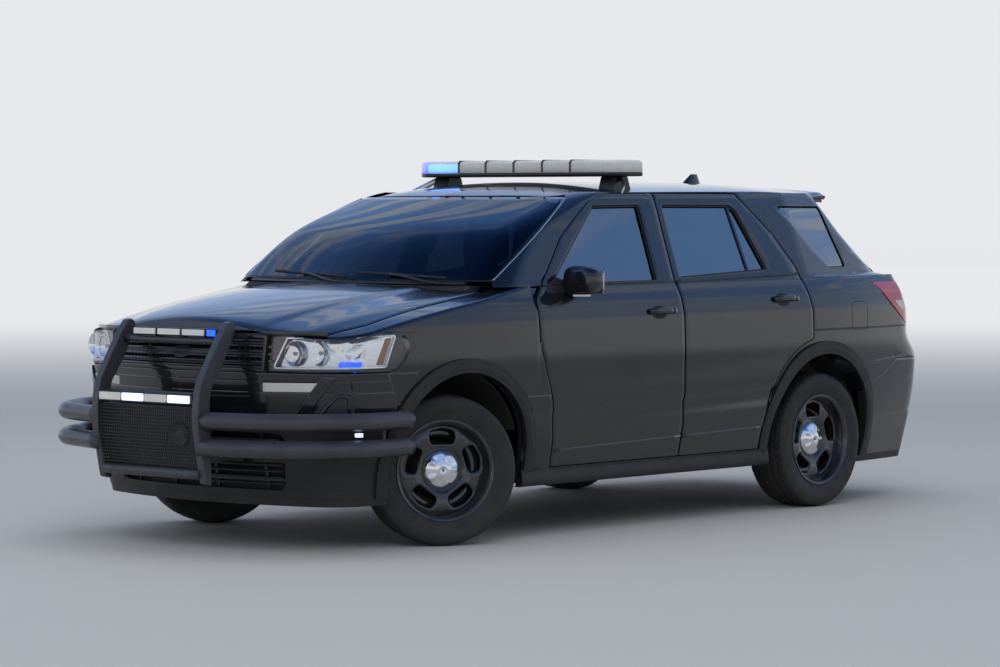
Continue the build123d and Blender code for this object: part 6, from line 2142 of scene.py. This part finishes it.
class Interior:
    """Cloth seats over the frame's plain ones, with a dash screen and an instrument hood."""

    @staticmethod
    def cushion(name: str, centre: Points, half: Points, lean: float, fill_value: float) -> None:
        """A stuffed block: each point of a sphere raised to a power, leaning back about X.

        Args:
            name: the piece's name.
            centre: its middle.
            half: its half sizes.
            lean: degrees it leans back.
            fill_value: how full it is; not used.
        """
        v = np.linspace(-math.pi / 2, math.pi / 2, 25)[:, None]
        u = whole_turn(40)[None]
        cu, su, cv, sv = (squared(wave(a), 0.4) for a in (u, v) for wave in (np.cos, np.sin))
        x, y, z = half[0] * cv * cu, half[1] * cv * su, half[2] * sv + 0 * u
        y = y - 10 * np.exp(-(x / (0.45 * half[0])) ** 2) * (np.abs(z) < half[2])
        c, s = math.cos(math.radians(lean)), math.sin(math.radians(lean))
        rings = np.stack([x + centre[0], y * c + z * s + centre[1], z * c - y * s + centre[2]], -1)
        piece = Make.closed(name, rings, Finishes.cloth, BODY)

    @classmethod
    def build(cls) -> None:
        """Front seats and rear bench."""
        for side, sign in SIDES:
            cls.cushion(f"seat_cushion_{side}", (sign * 370, 1300, 690), (258, 268, 66), 0, 0.8)
            cls.cushion(f"seat_back_{side}", (sign * 370, 1590, 975), (258, 68, 335), 12, 0.8)
            cls.cushion(f"seat_head_{side}", (sign * 370, 1630, 1416), (136, 56, 92), 0, 0.9)
            cls.cushion(f"bench_cushion_{side}", (sign * 318, 2220, 690), (312, 268, 62), 0, 0.85)
            cls.cushion(f"bench_back_{side}", (sign * 318, 2508, 975), (312, 60, 330), 12, 0.85)
        screen = round_box((-130, 1105), (130, 1250), 12)
        Make.prism("dash_screen", screen, Axis.Y, 800, 822, Finishes.piano, BODY, 4)
        hood = [(190, 760, 1120), (250, 760, 1165), (370, 760, 1180), (490, 760, 1165), (550, 760, 1120)]
        Make.tube("instrument_hood", curve_path(hood, 24), 30, Finishes.cabin, BODY, 16, 2.0)
        LOG.info("interior built")


class Cad:
    """Finishes for the frame's own nodes that stay in sight."""

    table: dict[str, Finish] = {
        "door": Finishes.paint, "hood": Finishes.paint, "roof_panel": Finishes.paint, "body_sides": Finishes.paint,
        "front_fenders": Finishes.paint, "front_bumper": Finishes.cladding, "rear_bumper": Finishes.cladding,
        "tailgate": Finishes.paint, "lower_cladding": Finishes.cladding, "grille": Finishes.satin,
        "push_bar": Finishes.powder, "push_bar_lights": Finishes.satin, "mirror": Finishes.piano,
        "glass": Finishes.tinted, "tail_lamps": Finishes.red_lens, "floor_pan": Finishes.underseal,
        "front_frame": Finishes.underseal, "rear_subframe": Finishes.underseal, "engine_block": Finishes.cast,
        "exhaust": Finishes.exhaust, "knuckle": Finishes.cast, "seats": Finishes.cloth,
        "dashboard": Finishes.cabin, "partition": Finishes.powder, "light_bar": Finishes.off_light,
        "light_bar_mount": Finishes.satin, "wheel": Finishes.steel_black, "tyre": Finishes.tyre,
        "front_lamps": Finishes.lens, "fixed_glass": Finishes.windshield, "tailgate_glass": Finishes.tinted,
    }

    @classmethod
    def dress(cls) -> None:
        """Gives each node the finish of its longest matching name."""
        for name, obj in frame["nodes"].items():
            key = max((k for k in cls.table if name.startswith(k)), key=len)
            material = cls.table[key].build()
            obj.data.materials.clear()
            obj.data.materials.append(material)
        LOG.info("frame dressed")


@dataclass
class Studio:
    """Pale floor and sky, three soft lamps and the camera."""

    floor_half: float = 60.0
    backdrop: tuple[float, float, float] = (0.80, 0.81, 0.83)
    sky_stops: tuple[tuple[float, tuple[float, float, float]], ...] = (
        (0.585, (0.46, 0.61, 0.88)), (0.700, (0.24, 0.46, 0.90)), (0.800, (0.14, 0.36, 0.84)),
        (0.880, (0.05, 0.16, 0.48)), (1.0, (0.02, 0.07, 0.26)))
    station: tuple[float, float, float] = (12.158, -13.614, 1.6415)
    target: tuple[float, float] = (-0.25, 0.18)
    lens_mm: float = 124.0
    shift_y: float = -0.13

    def floor(self) -> None:
        """Pale ground that keeps the shadow under the vehicle."""
        half = self.floor_half
        corners = np.array([(-half, -half, 0), (half, -half, 0), (half, half, 0), (-half, half, 0)], float) * 1000
        obj = Make.mesh("ground", corners, [[0, 1, 2, 3]], None, BODY, True)
        obj.parent = None
        material = bpy.data.materials.new("pale_ground")
        material.use_nodes = True
        net = Net(material.node_tree)
        net.tree.nodes.clear()
        where = net.add("TexCoord").outputs["Object"]
        noise = net.add("TexNoise", {"Vector": where, "Scale": 60.0}).outputs["Fac"]
        grey = net.span(noise, (0.0, 1.0), (0.38, 0.44))
        near = net.add("BsdfPrincipled", {"Base Color": grey, "Roughness": 0.75})
        far = net.add("Emission", {"Color": (*self.backdrop, 1)})
        reach = net.add("VectorMath", {0: where}, operation="LENGTH").outputs["Value"]
        fade = net.span(reach, (8.0, 32.0), interpolation_type="SMOOTHSTEP")
        path = net.add("LightPath").outputs
        seen = path["Is Camera Ray"]
        for name in ("Is Glossy Ray", "Is Transmission Ray"):
            seen = net.math("MAXIMUM", seen, path[name])
        blend = net.add("MixShader", {"Fac": net.math("MULTIPLY", seen, fade), 1: near.outputs["BSDF"],
                                      2: far.outputs["Emission"]})
        net.add("OutputMaterial", {"Surface": blend.outputs["Shader"]})
        obj.data.materials.append(material)

    def sky(self) -> None:
        """World: a plain level of light, and a pale sky that cameras, gloss and glass see."""
        world = bpy.data.worlds.new("sky")
        bpy.context.scene.world = world
        world.use_nodes = True
        net = Net(world.node_tree)
        net.tree.nodes.clear()
        path = net.add("LightPath").outputs
        share = net.math("ADD", net.math("ADD", path["Is Camera Ray"], path["Is Transmission Ray"]),
                         path["Is Glossy Ray"], clamp=True)
        coord = net.add("TexCoord").outputs["Generated"]
        height = net.add("SeparateXYZ", {"Vector": coord}).outputs["Z"]
        stretch = net.add("Mapping", {"Vector": coord, "Scale": (1.0, 1.0, 5.0)}).outputs["Vector"]
        cloud = net.add("TexNoise", {"Vector": stretch, "Scale": 4.5, "Detail": 5.0}).outputs["Fac"]
        level = net.span(height, (-1.0, 1.0), (-0.03, 0.97))
        ramp = net.add("ValToRGB", {"Fac": net.math("MULTIPLY_ADD", cloud, 0.06, level)})
        stops = ((0.0, (0.42, 0.42, 0.43)), (0.495, self.backdrop), (0.558, self.backdrop), *self.sky_stops)
        elements = ramp.color_ramp.elements
        elements[0].position, elements[0].color = stops[0][0], (*stops[0][1], 1)
        elements[1].position, elements[1].color = stops[-1][0], (*stops[-1][1], 1)
        for position, colour in stops[1:-1]:
            elements.new(position).color = (*colour, 1)
        bounds = net.math("MULTIPLY", net.span(height, (0.72, 0.58)), net.span(height, (0.16, 0.26)))
        cover = net.math("MULTIPLY", net.span(cloud, (0.47, 0.60), (0.0, 0.75)), bounds)
        lit = net.add("Background", {"Color": (0.88, 0.93, 1.0, 1), "Strength": 0.75})
        seen = net.add("Background", {"Color": net.blend(cover, ramp.outputs["Color"], (0.74, 0.77, 0.82, 1))})
        mix = net.add("MixShader", {"Fac": share, 1: lit.outputs["Background"], 2: seen.outputs["Background"]})
        net.add("OutputWorld", {"Surface": mix.outputs["Shader"]})

    def lamps(self) -> None:
        """A soft key from the camera's left, a broad top and a weak fill."""
        rows = (("key", (9, -10, 8), 7.0, 420.0), ("top", (0, 0, 9), 8.0, 260.0), ("fill", (-8, -9, 4), 6.0, 120.0))
        for name, place, size, power in rows:
            light = bpy.data.lights.new(name, "AREA")
            light.shape, light.size, light.energy = "SQUARE", size, power
            obj = bpy.data.objects.new(name, light)
            obj.location = place
            obj.visible_glossy = obj.visible_transmission = False
            obj.rotation_euler = (Vector((0, 0, 0.8)) - Vector(place)).to_track_quat("-Z", "Y").to_euler()
            bpy.context.scene.collection.objects.link(obj)

    def camera(self) -> None:
        """The photograph's station point, level, turned to the vehicle's middle."""
        data = bpy.data.cameras.new("camera")
        data.lens, data.sensor_width, data.shift_y = self.lens_mm, 36.0, self.shift_y
        data.clip_end = 200.0
        obj = bpy.data.objects.new("camera", data)
        obj.location = self.station
        way = Vector((self.target[0] - self.station[0], self.target[1] - self.station[1], 0))
        obj.rotation_euler = way.to_track_quat("-Z", "Y").to_euler()
        bpy.context.scene.collection.objects.link(obj)
        bpy.context.scene.camera = obj

    def build(self) -> None:
        """Floor, sky, lamps and camera."""
        bpy.context.scene.view_settings.view_transform = "Standard"
        self.floor()
        self.sky()
        self.lamps()
        self.camera()
        LOG.info("studio built")


def main() -> None:
    """Builds every sub-assembly."""
    logging.basicConfig(level=logging.INFO, format="%(message)s")
    flank, nose = Flank(), Wrap(0, BodyForm.tip[0])
    Cad.dress()
    Doors(flank).build()
    Shell(flank, nose).build()
    Cladding().build()
    Glasshouse(flank).build()
    FrontEnd(nose).build()
    PushBar().build()
    for end in ("front", "rear"):
        for side, sign in SIDES:
            Wheel(end, side, sign).build()
    LightBar().build()
    Trim(flank).build()
    Interior.build()
    Studio().build()
    LOG.info("pieces made: %d", Make.made)


if __name__ == "__main__":
    main()
